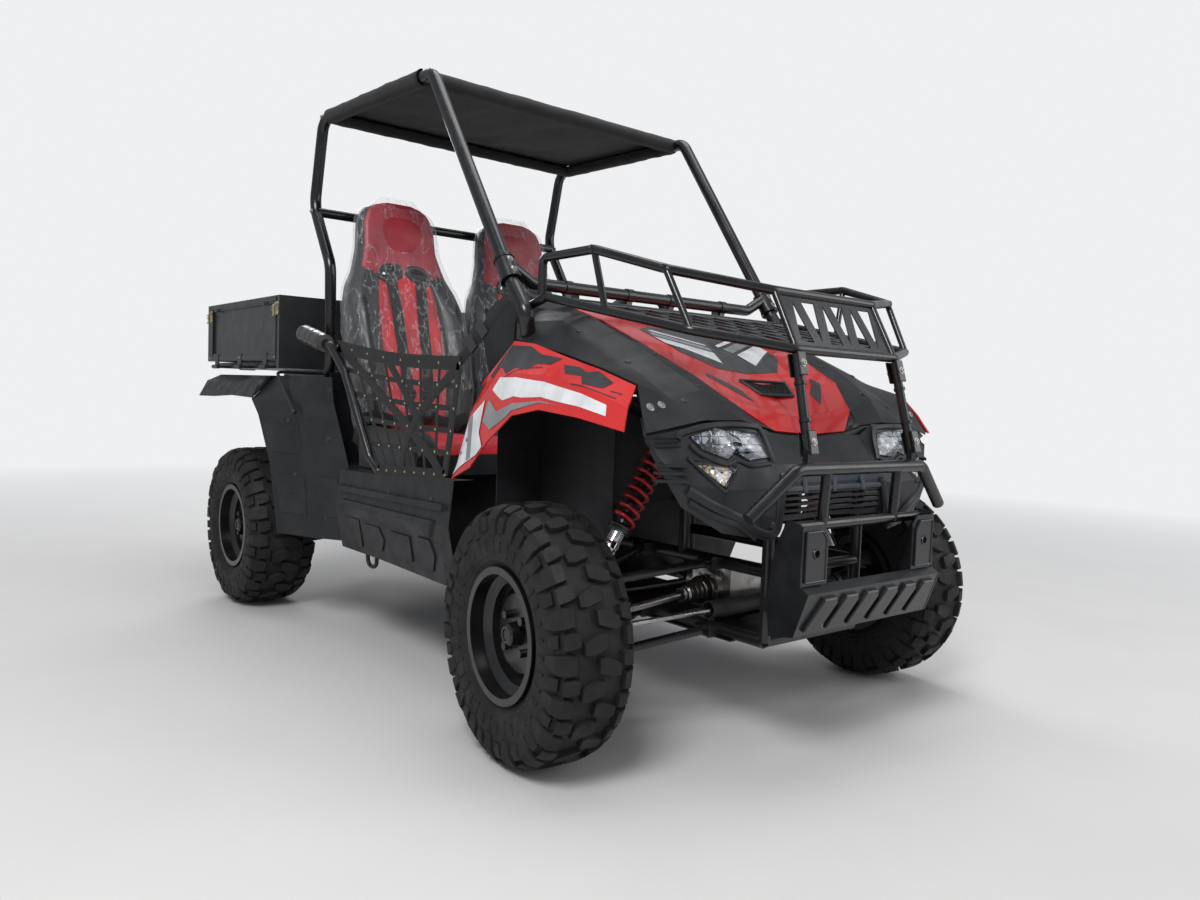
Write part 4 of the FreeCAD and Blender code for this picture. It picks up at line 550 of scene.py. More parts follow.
# Tread of one pitch: rows of (place across, left edge, right edge) in shares of the pitch, and its height.
TREAD = [
    ([(-0.06, 0.10, 0.40), (0.06, 0.08, 0.46), (0.20, 0.16, 0.52), (0.33, 0.26, 0.50)], 14),
    ([(0.38, 0.02, 0.30), (0.50, 0.0, 0.36), (0.60, 0.04, 0.38)], 13),
    ([(0.44, 0.50, 0.88), (0.58, 0.46, 0.92), (0.72, 0.48, 0.92), (0.86, 0.50, 0.88), (1.0, 0.54, 0.84)], 14),
    ([(0.68, 0.02, 0.32), (0.80, 0.02, 0.34), (0.92, 0.05, 0.30)], 10),
    ([(1.06, 0.10, 0.20), (1.25, 0.12, 0.18)], 3),
    ([(1.06, 0.62, 0.72), (1.30, 0.64, 0.70)], 3),
]
PITCHES = {"front": 19, "rear": 18}
# How far a block widens towards its foot, as a share of the pitch.
DRAFT = 0.022
CARCASS_STEPS = 104


def make_tyre(name):
    """Carcass with raised wall rings, and a directional tread of angled middle and shoulder blocks."""
    width = TYRE_WIDTH[WHEELS[name][1]]
    middle, out = wheel_axis(name)
    ahead = Z_AXIS.cross(out)

    def wheel_point(across, radius, angle):
        return middle + (out * across + (Z_AXIS * math.cos(angle) + ahead * math.sin(angle)) * radius) * MM

    line = smooth_line(tyre_half(width), 6)
    lengths = [0.0]
    for a, b in zip(line, line[1:]):
        lengths.append(lengths[-1] + (b - a).length)
    low_edge = TYRE_RADIUS - LUG_HEIGHT - 0.36 * (TYRE_RADIUS - BEAD)
    tread_end = next(s for s, p in zip(lengths, line) if p.y < low_edge)

    def surface(v, lift):
        """Distance across and radius at v, from -1 to 1 over the tread, lifted out of the carcass."""
        want = min(abs(v) * tread_end, lengths[-1])
        k = next((i for i in range(1, len(line)) if lengths[i] >= want), len(line) - 1)
        here = line[k - 1].lerp(line[k], (want - lengths[k - 1]) / (lengths[k] - lengths[k - 1]))
        along = (line[k] - line[k - 1]).normalized()
        spot = here + Vector((-along.y, along.x, 0)) * lift
        out_to = min(spot.x, 0.5 * width + 2)
        return (out_to if v >= 0 else -out_to), spot.y

    build = Build()
    # How far out the rings on the wall stand, by their place on the line.
    wall_rings = {len(line) - 20: 1.0, len(line) - 16: 1.2, len(line) - 12: 1.6}
    outer = [(p.x + wall_rings.get(i, 0), p.y) for i, p in enumerate(line)]
    inner = [(outer[-1][0] - 14, BEAD), (0.2 * width, TYRE_RADIUS - 45)]
    profile = [(-x, r) for x, r in outer[::-1]] + outer[1:] + inner + [(-x, r) for x, r in inner[::-1]]
    build.grid([[wheel_point(x, r, a) for x, r in profile] for a in turns_of(CARCASS_STEPS)],
               loop=True, closed=True)
    pitches = PITCHES[WHEELS[name][1]]
    pitch = math.tau / pitches
    for n in range(pitches):
        for hand, shift in ((1, 0.0), (-1, 0.5)):
            for rows, height in TREAD:
                block = []
                for v, left, right in rows:
                    ring = []
                    for edge, lift, spread in ((left, -2, -DRAFT), (left, height, DRAFT * 0.3),
                                               (right, height, -DRAFT * 0.3), (right, -2, DRAFT)):
                        x, r = surface(v * hand, lift)
                        ring.append(wheel_point(x, min(r, TYRE_RADIUS), (n + shift + edge + spread) * pitch))
                    block.append(ring)
                block = block[::hand]
                build.grid(block)
                build.cap(block[0])
                build.cap(block[-1], 0, True)
    tyre = build.make("tread_" + name, MATERIALS["tyre"], "wheel_" + name, 30.0)
    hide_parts("tyre_" + name)


# Springs and dampers
# Lower and upper eyes: distance from the centre plane and height.
SHOCK_FOOT, SHOCK_HEAD = (506.7, 429.5), (262, 800)


def make_shocks():
    """Coil springs over dampers: red springs, black bellows inside them and chrome bodies below."""
    build = Build()
    for axle_y in (0, REAR_AXLE):
        foot, head = (at(x, axle_y, z) for x, z in (SHOCK_FOOT, SHOCK_HEAD))
        along, length = (head - foot).normalized(), (head - foot).length
        eye = [(0, 0.0085), (0, 0.016), (0.003, 0.017), (0.023, 0.017), (0.026, 0.016), (0.026, 0.0085)]
        for place in (foot, head):
            lathe(build, place - Y_AXIS * 0.013, Y_AXIS, eye, 24, 2)
        start, end = 0.156, length - 0.036
        body = [(0.008, 0.010), (0.016, 0.018), (0.060, 0.019), (0.064, 0.0205),
                (0.104, 0.0205), (0.108, 0.019)]
        for n in range(7):
            body += [(0.110 + n * 0.005, 0.019), (0.1115 + n * 0.005, 0.0206), (0.113 + n * 0.005, 0.019)]
        lathe(build, foot, along, body + [(0.152, 0.019), (0.152, 0.012)], 28, 1)
        for u in (0.146, 0.154):
            nut = [(u - 0.006, 0.020), (u - 0.006, 0.031), (u, 0.033), (u + 0.002, 0.020)]
            lathe(build, foot, along, nut, 12, 2)
        bellows = [(start, 0.012)]
        folds = 16
        for n in range(folds):
            u = start + (end - start) * n / folds
            bellows += [(u + 0.001, 0.016), (u + 0.005, 0.0205), (u + 0.009, 0.016)]
        lathe(build, foot, along, bellows, 20, 2)
        cap = [(end, 0.012), (end - 0.002, 0.032), (end + 0.006, 0.031), (end + 0.012, 0.016),
               (length - 0.012, 0.014)]
        lathe(build, foot, along, cap, 24, 2)
        side, up = frame_of(along)
        coils, wire = 9, 0.0058
        radius, steps = 0.034 - wire, coils * 24
        points = []
        for n in range(steps + 1):
            angle = math.tau * coils * n / steps
            u = start + 0.007 + (end - start - 0.012) * n / steps
            points.append(foot + along * u + (side * math.cos(angle) + up * math.sin(angle)) * radius)
        sweep(build, points, wire, 10, 0)
    build.mirror()
    shocks = build.make("coil_overs", MATERIALS["spring_red"], ROOT, 40.0, (CHROME, MATERIALS["frame_black"]))
    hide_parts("shocks")


# Inner ends of the half shafts.
FLANGE_X, FLANGE_Z = 94.3, 362


def make_boots():
    """Ribbed rubber boots over the joints of the half shafts, with their clamps."""
    build = Build()
    for axle_y, outer_x in ((0, 572), (REAR_AXLE, 597)):
        inner, outer = at(FLANGE_X, axle_y, FLANGE_Z), at(outer_x, axle_y, AXLE_Z + 3)
        along, reach = (outer - inner).normalized(), (outer - inner).length
        folds = 6
        ends = ((0.004, 0.100, 0.041, 0.018), (reach - 0.064, reach - 0.004, 0.018, 0.031))
        for u0, u1, r0, r1 in ends:
            profile = [(u0, r0 - 0.010), (u0, r0)]
            for n in range(folds):
                for share, inset in ((0.15, 0.004), (0.5, -0.001), (0.85, 0.004)):
                    t = (n + share) / folds
                    profile.append((u0 + 0.008 + (u1 - u0 - 0.016) * t, r0 + (r1 - r0) * t - inset))
            profile += [(u1, r1), (u1, r1 - 0.007)]
            lathe(build, inner, along, smooth_profile(profile), 28, 0)
            for u, r in ((u0 + 0.004, r0 + 0.0008), (u1 - 0.004, r1 + 0.0008)):
                lathe(build, inner, along, band(u - 0.003, u + 0.003, r - 0.002, r), 28, 1)
    build.mirror()
    build.make("shaft_boots", MATERIALS["tyre"], ROOT, 40.0, (BOLT,))


def smooth_profile(profile):
    return [(p.x, p.y) for p in smooth_line([Vector((u, r, 0)) for u, r in profile], 3)]


for wheel in WHEELS:
    make_tyre(wheel)
make_shocks()
make_boots()


# Seats
SEAT_X = 272
SEAT_FOOT, SEAT_TOP = 604, 1625
# The seat back by height: its front, its rear and half its width.
BACK_FRONT = [(604, 1369), (745, 1372), (1000, 1425), (1300, 1515), (1450, 1560), (1625, 1588)]
BACK_REAR = [(604, 1470), (745, 1476), (1000, 1528), (1300, 1600), (1450, 1640), (1625, 1648)]
BACK_HALF = [(604, 205), (700, 218), (850, 240), (1100, 246), (1225, 243), (1285, 228), (1345, 196),
             (1440, 168), (1540, 163), (1590, 142), (1612, 116), (1622, 80), (1625, 40)]
# How far the bolsters stand ahead of the centre panel, and how far the panel's crown does.
BACK_BOLSTER = [(604, 0), (700, 8), (790, 38), (1000, 58), (1200, 44), (1300, 14), (1380, 4), (1500, 0)]
BACK_CROWN = [(745, 4), (1000, 9), (1290, 6), (1350, -3), (1420, 12), (1540, 16), (1625, 0)]
# The seam between centre panel and bolster, as a share of half the width.
SEAM = 0.52


def smoothed(table, at_value, spread=22):
    """A table read with its corners rounded."""
    return sum(steps_of(table, at_value + shift * spread) for shift in (-1, -0.5, 0, 0.5, 1)) / 5


def bump_between(value, low, high):
    """A rounded hump that is 0 at both ends and 1 in the middle."""
    return math.sin(math.pi * (value - low) / (high - low)) ** 0.8 if low < value < high else 0.0


def back_point(u, z):
    """Front face of the right hand seat's back: u from -1 to 1 across it, z its height, in millimetres."""
    half = smoothed(BACK_HALF, z, 8)
    edge = max(0.0, (abs(u) - 0.80) / 0.20)
    y = smoothed(BACK_FRONT, z) - smoothed(BACK_CROWN, z) * (1 - u * u)
    y -= smoothed(BACK_BOLSTER, z) * bump_between(abs(u), SEAM, 1.12)
    if z < 1330:
        y += 7 * math.exp(-((abs(u) - SEAM) / 0.022) ** 2)
    y += (smoothed(BACK_REAR, z) - smoothed(BACK_FRONT, z)) * 0.42 * edge ** 2.4
    return Vector((-SEAT_X + u * half, y, z))


# Harness openings: middle, half length, half height and tilt.
OPENINGS = [(side * 62, 1345, 42, 22, side * 20) for side in (RIGHT, LEFT)]


def opening_share(x, z):
    """How far out a point lies in the nearest harness opening: under 1 is inside."""
    nearest = 9.0
    for cx, cz, wide, tall, tilt in OPENINGS:
        turn = math.radians(tilt)
        dx, dz = x + SEAT_X - cx, z - cz
        along, up = dx * math.cos(turn) - dz * math.sin(turn), dx * math.sin(turn) + dz * math.cos(turn)
        nearest = min(nearest, math.hypot(along / wide, up / tall))
    return nearest


def make_seat_back():
    """High back: red centre, grey bolsters, maroon headrest and two padded harness openings."""
    levels, across = spaced(SEAT_FOOT, SEAT_TOP, 92), spaced(-1, 1, 72)
    build = Build()
    front = [[back_point(u, z) for u in across] for z in levels]
    rows = []
    for z, row in zip(levels, front):
        half = smoothed(BACK_HALF, z, 8)
        rear_y = smoothed(BACK_REAR, z)
        edge_y = row[-1].y
        ring = [at(*p) for p in row]
        flank = [(half * (1.0 - 0.02 * t), edge_y + (rear_y - 10 - edge_y) * t) for t in (0.33, 0.66, 1.0)]
        ring += [at(-SEAT_X + x, y, z) for x, y in flank]
        ring += [at(-SEAT_X + half * (0.96 - 0.16 * n), rear_y - (3 if n == 0 else 0), z) for n in range(13)]
        ring += [at(-SEAT_X - x, y, z) for x, y in flank[::-1]]
        rows.append(ring)
    wide = len(across)

    def pick(j, i):
        z = (levels[j] + levels[j + 1]) / 2
        if i >= wide - 1:
            u = 1.0
            if wide + 2 <= i < len(rows[0]) - 4 and opening_share(rows[j][i].x / MM, z) < 0.85:
                return None
        else:
            u = (across[i] + across[i + 1]) / 2
            x = (front[j][i].x + front[j][i + 1].x) / 2
            if opening_share(x, z) < 1.0:
                return None
        if z > 1322 + 55 * max(0.0, abs(u) - 0.3):
            return 2 if abs(u) < 0.93 else 1
        return 0 if abs(u) < SEAM else 1

    build.grid(rows, loop=True, pick=pick)
    build.cap(rows[-1], 2)
    build.cap(rows[0], 1, True)
    build.mirror()
    back = build.make("seat_backs_padded", MATERIALS["seat_fabric"], ROOT, 60.0, (SEAT_DARK, SEAT_MAROON))
    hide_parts("seat_backs")
    rings = Build()
    for cx, cz, wide_half, tall, tilt in OPENINGS:
        turn = math.radians(tilt)
        loop = []
        for a in turns_of(40):
            du, dv = wide_half * 1.12 * math.cos(a), tall * 1.2 * math.sin(a)
            x = cx + du * math.cos(turn) + dv * math.sin(turn)
            z = cz - du * math.sin(turn) + dv * math.cos(turn)
            spot = back_point(x / smoothed(BACK_HALF, z, 8), z)
            loop.append(at(spot.x, spot.y + 1, z))
        middle = sum(loop, Vector()) / len(loop)
        rows = []
        for point, before, after in zip(loop, loop[-1:] + loop[:-1], loop[1:] + loop[:1]):
            ahead = (after - before).normalized()
            out = point - middle
            out = (out - ahead * out.dot(ahead)).normalized()
            up = ahead.cross(out)
            fold = 1 + 0.08 * noise.noise(point * 60)
            rows.append([point + (out * math.cos(b) + up * math.sin(b)) * 0.0115 * fold
                         for b in turns_of(12)])
        rings.grid(rows, 0, loop=True, closed=True)
        inner = [middle + (p - middle) * 0.86 for p in loop]
        rings.grid([inner + inner[:1], [p + Y_AXIS * 0.092 for p in inner + inner[:1]]], 0)
    rings.mirror()
    rings.make("harness_rings", SEAT_DARK, ROOT, 60.0)
    piping = Build()
    for side in (RIGHT, LEFT):
        line = [back_point(side * SEAM, 760 + n * 14) for n in range(40)]
        sweep(piping, [at(p.x, p.y - 1.5, p.z) for p in line], 0.0032, 6)
    piping.mirror()
    piping.make("seat_back_piping", SEAT_DARK, ROOT, 60.0)


# Depth of the seat pads, and the height of their top by depth.
CUSHION_FRONT, CUSHION_REAR = 930, 1364
CUSHION_TOP = [(925, 664), (938, 705), (965, 731), (1010, 736), (1200, 722), (1330, 730), (1362, 728)]


def make_cushions():
    """Seat pads: crowned red middle with two sewn channels, between grey bolsters."""
    build = Build()
    depth, across = spaced(CUSHION_FRONT, CUSHION_REAR, 44), spaced(-1, 1, 64)
    rows = []
    for y in depth:
        top = steps_of(CUSHION_TOP, y)
        ends = min(1.0, (y - 924) / 60) ** 0.5
        row = []
        for u in across:
            z = top - 4 + 10 * (1 - (u / 0.7) ** 2) * ends if abs(u) < 0.7 else top - 4
            z += 34 * bump_between(abs(u), 0.64, 1.14) * ends
            z -= 8 * math.exp(-((abs(u) - 0.66) / 0.02) ** 2)
            for seam_y in (1080, 1210):
                if abs(u) < 0.66:
                    z -= 5 * math.exp(-((y - seam_y) / 5) ** 2)
            edge = max(0.0, (abs(u) - 0.84) / 0.16)
            z -= (z - 640) * 0.5 * edge ** 2.6
            row.append(at(-SEAT_X + u * 250 * (1 - 0.03 * (1 - ends)), y, z))
        left, right = row[0], row[-1]
        skirt = [Vector((right.x, right.y, 0.607)), Vector((left.x, left.y, 0.607))]
        rows.append(row + skirt)
    wide = len(across)
    build.grid(rows, loop=True, pick=lambda j, i: 0 if i < wide - 1 and abs(across[i] + 1 / 64) < 0.66 else 1)
    build.cap(rows[0], 1, True)
    build.cap(rows[-1], 1)
    build.mirror()
    pads = build.make("seat_cushions_padded", MATERIALS["seat_fabric"], ROOT, 60.0, (SEAT_DARK,))
    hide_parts("seat_cushions")


def make_harness():
    """Shoulder straps out of the openings, lap straps, their adjusters and the buckle."""
    straps, metal = Build(), Build()
    buckle = Vector((-SEAT_X + 6, 1332, 792))
    for cx, cz, *_ in OPENINGS:
        side = 1 if cx > 0 else -1
        points = [at(-SEAT_X + cx, y, z) for y, z in ((1560, cz + 6), (1529, cz + 2), (1516, cz - 16))]
        for n in range(1, 12):
            z = cz - 16 - n * 45
            x = cx + (side * 40 - cx) * n / 11
            spot = back_point(x / smoothed(BACK_HALF, z), z)
            points.append(at(spot.x, spot.y - 4 - 2 * math.sin(n * 0.9 + side), z))
        points.append(at(buckle.x + side * 26, buckle.y - 2, buckle.z + 16))
        line = smooth_line(points, 4)
        ribbon(straps, line, X_AXIS, 0.046, 0.0022)
        low = points[-3]
        slab(metal, low - Y_AXIS * 0.004, (X_AXIS, Z_AXIS, -Y_AXIS), (0.056, 0.030, 0.006), 0.002)
        for edge in (-0.009, 0.009):
            sweep(metal, [low + Vector((-0.024, -0.009, edge)), low + Vector((0.024, -0.009, edge))], 0.0025, 8)
        lap = [at(buckle.x + side * 30, buckle.y - 3, buckle.z - 6), at(-SEAT_X + side * 110, 1322, 772),
               at(-SEAT_X + side * 196, 1330, 792), at(-SEAT_X + side * 246, 1366, 768),
               at(-SEAT_X + side * 252, 1400, 690)]
        line = smooth_line(lap, 6)
        ribbon(straps, line, [Z_AXIS.lerp(Y_AXIS, 0.35)] * len(line), 0.046, 0.0022)
    profile = [(0, 0.0), (0, 0.030), (0.012, 0.030), (0.016, 0.026), (0.018, 0.014), (0.024, 0.013),
               (0.026, 0.010), (0.026, 0)]
    lathe(metal, at(*buckle) + Y_AXIS * 0.010, -Y_AXIS, profile, 28)
    for part in (straps, metal):
        part.mirror()
    harness = straps.make("harness_straps", MATERIALS["webbing"], ROOT, 40.0)
    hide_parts("seat_belts")
    metal.make("harness_buckles", BLACK_BOLT, ROOT, 40.0)


# Heights of the wrap: its open foot, where it starts to close, and its top.
WRAP_FOOT, WRAP_NECK, WRAP_TOP = 690, 1600, 1652


def make_wraps():
    """Clear plastic bags still over the seat backs, creased, and loose above the headrests."""
    build = Build()
    rows = []
    for z in spaced(WRAP_FOOT, WRAP_TOP, 70):
        body_z = min(z, 1612)
        half = smoothed(BACK_HALF, body_z, 20)
        front, rear = smoothed(BACK_FRONT, body_z), smoothed(BACK_REAR, body_z)
        close = max(0.0, (z - WRAP_NECK) / (WRAP_TOP - WRAP_NECK))
        row = []
        for angle in turns_of(96):
            c, s = math.cos(angle), math.sin(angle)
            x = (half + 13) * signed_power(c, 0.5) * (1 - 0.35 * close)
            wide = abs(x) / (half + 13)
            if s < 0:
                bulge = smoothed(BACK_BOLSTER, body_z, 60) * (0.82 + 0.18 * bump_between(wide, 0.4, 1.15))
                y = (front + rear) / 2 + ((rear - front) / 2 + 13 + bulge) * -abs(s) ** 0.42
            else:
                y = (front + rear) / 2 + ((rear - front) / 2 + 12) * abs(s) ** 0.42
            y += ((front + rear) / 2 - y) * 0.75 * close
            spot = Vector((x / 1000, y / 1000, z / 1000))
            folds = Vector((spot.x * 9, spot.y * 9, spot.z * 3.6))
            crease = noise.ridged_multi_fractal(folds, 1.0, 2.0, 3, 0.8, 2.0)
            out = 9 * (crease - 0.9) + 5 * noise.noise(spot * 24)
            length = math.hypot(x, y - (front + rear) / 2)
            grow = max(-4.0, min(9.0, out)) / length
            row.append(at(-SEAT_X + x * (1 + grow), y + (y - (front + rear) / 2) * grow, z))
        rows.append(row)
    build.grid(rows, 0, loop=True)
    build.mirror()
    wraps = build.make("seat_wraps", WRAP, ROOT, 22.0)


# Webbing nets in the door openings
# Distance of the nets from the centre plane.
NET_X = 623.1
# The net's corners: top rear, top front, low front and low rear.
NET = [(1330, 1040), (487, 976), (555, 650), (990, 628)]


def net_point(u, v, lift):
    """Point of the right hand net: u from rear to front, v from top to bottom."""
    (ya, za), (yb, zb), (yc, zc), (yd, zd) = NET
    y = (ya + (yb - ya) * u) * (1 - v) + (yd + (yc - yd) * u) * v
    z = (za + (zb - za) * u) * (1 - v) + (zd + (zc - zd) * u) * v
    slack = 16 * math.sin(math.pi * u) * (1 - v) ** 2
    belly = 5 * math.sin(math.pi * u) * math.sin(math.pi * v)
    return at(-(NET_X + lift + belly), y, z - slack)


def make_nets():
    """Woven strap net: wide borders and diagonals, narrow straps between them, riveted where they cross."""
    straps, rivets = Build(), Build()

    def strap(a, b, width, lift, count=14):
        line = [net_point(*(Vector(a).lerp(Vector(b), n / count)), lift) for n in range(count + 1)]
        ahead = [after - before for before, after in zip(line[:1] + line, line[1:] + line[-1:])]
        ribbon(straps, line, [step.cross(X_AXIS) for step in ahead], width, 0.0016)

    columns, rows = 7, 5
    for n in range(1, columns):
        strap((n / columns, 0.02), (n / columns, 0.98), 0.017, 0.0)
    for n in range(1, rows):
        strap((0.01, n / rows), (0.99, n / rows), 0.017, 1.3)
    for a, b in (((0, 0), (0.93, 0.98)), ((0.98, 0.06), (0.36, 1.0)), ((0.45, 0.0), (0.72, 0.62))):
        strap(a, b, 0.034, 2.6)
    for a, b, width in (((0, 0), (1, 0), 0.042), ((0, 1), (1, 1), 0.034),
                        ((0, 0), (0, 1), 0.034), ((1, 0), (1, 1), 0.034)):
        strap(a, b, width, 3.8, 20)
    stud = [(0, 0.0042), (0.0008, 0.0040), (0.0016, 0.0026), (0.0018, 0)]
    for i in range(columns + 1):
        for j in range(rows + 1):
            lathe(rivets, net_point(i / columns, j / rows, 4.4), -X_AXIS, stud, 10)
    start, end = at(-624, 503, 976), at(-572, 334, 1160)
    line = [start.lerp(end, n / 6) + Vector((0, 0, -0.004 * math.sin(math.pi * n / 6))) for n in range(7)]
    across = (end - start).cross(X_AXIS)
    ribbon(straps, line, [across] * 7, 0.040, 0.002)
    for share in (0.30, 0.52):
        centre = start.lerp(end, share) - X_AXIS * 0.004
        ahead = (end - start).normalized()
        wide = across.normalized()
        slab(rivets, centre, (wide, ahead, wide.cross(ahead)), (0.054, 0.030, 0.008), 0.002, 1)
    for part in (straps, rivets):
        part.mirror()
    net = straps.make("door_nets", MATERIALS["webbing"], ROOT, 40.0)
    studs = rivets.make("net_rivets", BRASS, ROOT, 40.0, (BLACK_BOLT,))
    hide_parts("side_nets")


# Roof cloth
# Front and rear header tubes: place along the vehicle, height and half length.
ROOF = [(830, 1885, 548), (1648, 1908, 562)]
CLOTH_Y = (890, 1588)


def roof_line(y):
    """Height of the header tubes and their distance from the centre plane at y."""
    (y0, z0, x0), (y1, z1, x1) = ROOF
    share = (y - y0) / (y1 - y0)
    return z0 + (z1 - z0) * share, x0 + (x1 - x0) * share


def make_canopy():
    """One sheet stretched over the four header tubes and rolled round each, cut away at the corners."""
    wrap, span, sleeve = 14, 44, 25.2
    turn = math.radians(285)

    def along_edge(n, count, low, high):
        """Where a column or row lies: place, angle round the tube, and which end."""
        if n < wrap:
            return low, turn * (wrap - n) / wrap, -1
        if n > wrap + count:
            return high, turn * (n - wrap - count) / wrap, 1
        return low + (high - low) * (n - wrap) / count, 0.0, 0

    rows, kinds = [], []
    for j in range(2 * wrap + span + 1):
        y_mid, turn_y, end_y = along_edge(j, span, *CLOTH_Y)
        row, kind = [], []
        for i in range(2 * wrap + span + 1):
            z_tube, half = roof_line(y_mid)
            share, turn_x, end_x = along_edge(i, span, -1, 1)
            grown = sleeve * (1 + 0.05 * noise.noise(Vector((i * 0.31, j * 0.27, 3.0))))
            bunch = noise.noise(Vector((share * 14, y_mid * 0.022, turn_x * 0.5 + turn_y * 0.5)))
            pleat = noise.noise(Vector((share * 31, y_mid * 0.06, turn_x + turn_y)))
            grown += 3.4 * max(0.0, bunch) + 1.6 * abs(pleat)
            x = share * half + end_x * grown * math.sin(turn_x)
            y = y_mid + end_y * grown * math.sin(turn_y)
            z = z_tube + sleeve
            if end_x:
                z = z_tube + grown * math.cos(turn_x)
            if end_y:
                z = z_tube + (grown - 1.0) * math.cos(turn_y)
            if not end_x and not end_y:
                inside = math.sin(math.pi * (i - wrap) / span) * math.sin(math.pi * (j - wrap) / span)
                sag = 15 * inside ** 0.7
                pull = noise.noise(Vector((x * 0.006, y * 0.006, 1.0))) * 8
                pull += noise.noise(Vector((x * 0.024, y * 0.006, 5.0))) * 6
                pull += 5 * abs(noise.noise(Vector((x * 0.011, y * 0.016, 9.0)))) * (1 - inside)
                z -= sag - pull * min(1.0, inside * 3)
            row.append(at(x, y, z))
            kind.append((end_x, end_y))
        rows.append(row)
        kinds.append(kind)

    def pick(j, i):
        corners = [kinds[a][b] for a in (j, j + 1) for b in (i, i + 1)]
        return None if any(x for x, _ in corners) and any(y for _, y in corners) else 0

    build = Build()
    build.grid(rows, pick=pick)
    cloth = build.make("roof_cloth", MATERIALS["canvas"], ROOT, 70.0)
    thicken(cloth, 1.4)
    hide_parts("canopy")
    make_hems()


def make_hems():
    """Raised stitch lines beside the header tubes, on the underside and the top of the roof cloth."""
    build = Build()
    for inset in (34, 40):
        corners = []
        front, rear = CLOTH_Y[0] + inset, CLOTH_Y[1] - inset
        for y, side in ((front, RIGHT), (front, LEFT), (rear, LEFT), (rear, RIGHT)):
            z, half = roof_line(y)
            corners.append(Vector((side * (half - inset), y, z + 24.5)))
        for a, b in round_pairs(corners):
            count = int((b - a).length / 9)
            for n in range(count):
                p, q = a.lerp(b, (n + 0.15) / count), a.lerp(b, (n + 0.8) / count)
                sweep(build, [at(*p), at(*p.lerp(q, 0.5)) + Z_AXIS * 0.0006, at(*q)], 0.0006, 5)
    return build.make("roof_stitches", MATERIALS["webbing"], ROOT, 60.0)


def make_sleeves():
    """Grey foam sleeves on the rear ends of the grab hoops, wrinkled, with open ends."""
    build = Build()
    start, end = at(-640, 1604, 1090), at(-640, 1359, 1039)
    along = (end - start).normalized()
    profile = [(-0.001, 0.016), (-0.001, 0.031)]
    for n in range(31):
        u = 0.002 + 0.196 * n / 30
        profile.append((u, 0.0325 + 0.0011 * math.sin(n * 2.1) + 0.0008 * math.sin(n * 0.83 + 1)))
    profile += [(0.201, 0.031), (0.201, 0.016)]
    lathe(build, start, along, profile, 36)
    build.mirror()
    build.make("hoop_sleeves", FOAM, ROOT, 50.0)


make_seat_back()
make_cushions()
make_harness()
make_wraps()
make_nets()
make_canopy()
make_sleeves()


# Body panels
class Panel:
    """A moulded panel's outer face: rows of points (x, y, z), read by row and column numbers."""

    def __init__(self, rows):
        self.rows = [[at(*p) for p in row] for row in rows]

    def point(self, s, t, lift):
        j = max(0, min(int(s), len(self.rows) - 2))
        i = max(0, min(int(t), len(self.rows[0]) - 2))
        here, after = self.rows[j], self.rows[j + 1]
        a, b = here[i].lerp(here[i + 1], t - i), after[i].lerp(after[i + 1], t - i)
        c, d = here[i].lerp(after[i], s - j), here[i + 1].lerp(after[i + 1], s - j)
        normal = (d - c).cross(b - a).normalized()
        return a.lerp(b, s - j) + normal * (lift * MM)

    def patch(self, build, outline, lift, spot):
        """A flat-coloured field laid on the panel; its outline is given in rows and columns."""
        work = bmesh.new()
        work.faces.new([work.verts.new((s, t, 0)) for s, t in outline])
        for axis, last in (((1, 0, 0), len(self.rows) - 1), ((0, 1, 0), len(self.rows[0]) - 1)):
            for n in range(1, last * 8):
                where = Vector(axis) * n / 8
                bmesh.ops.bisect_plane(work, geom=work.verts[:] + work.edges[:] + work.faces[:], plane_co=where,
                                       plane_no=axis, dist=1e-5)
        bmesh.ops.triangulate(work, faces=work.faces)
        work.verts.index_update()
        spots = [self.point(v.co.x, v.co.y, lift) for v in work.verts]
        faces = [[v.index for v in face.verts] for face in work.faces]
        build.add(spots, faces, spot)
        work.free()


# The top of the right front fender, in rows from front to back.
FENDER = Panel([
    [(555, -190, 925), (600, -215, 875), (632, -240, 820)], [(550, -50, 963), (612, -60, 920), (640, -80, 845)],
    [(550, 100, 998), (612, 90, 945), (640, 80, 858)], [(555, 220, 1030), (612, 220, 950), (640, 200, 838)],
    [(560, 310, 1040), (612, 330, 930), (640, 310, 765)], [(585, 420, 930), (612, 450, 830), (640, 400, 685)],
    [(600, 500, 700), (615, 505, 680), (638, 500, 645)]])
# Half width of the hood, place along the vehicle, height at the edge and height in the middle.
HOOD_EDGE = [(150, -270, 826, 817), (232, -225, 882, 862), (300, -120, 962, 928), (330, 50, 1045, 1030),
             (330, 220, 1112, 1102), (330, 370, 1158, 1165)]
HOOD = Panel([[(x * k, y, z + (m - z) * (1 - abs(k))) for k in (-1, -0.5, 0, 0.5, 1)]
              for x, y, z, m in HOOD_EDGE])

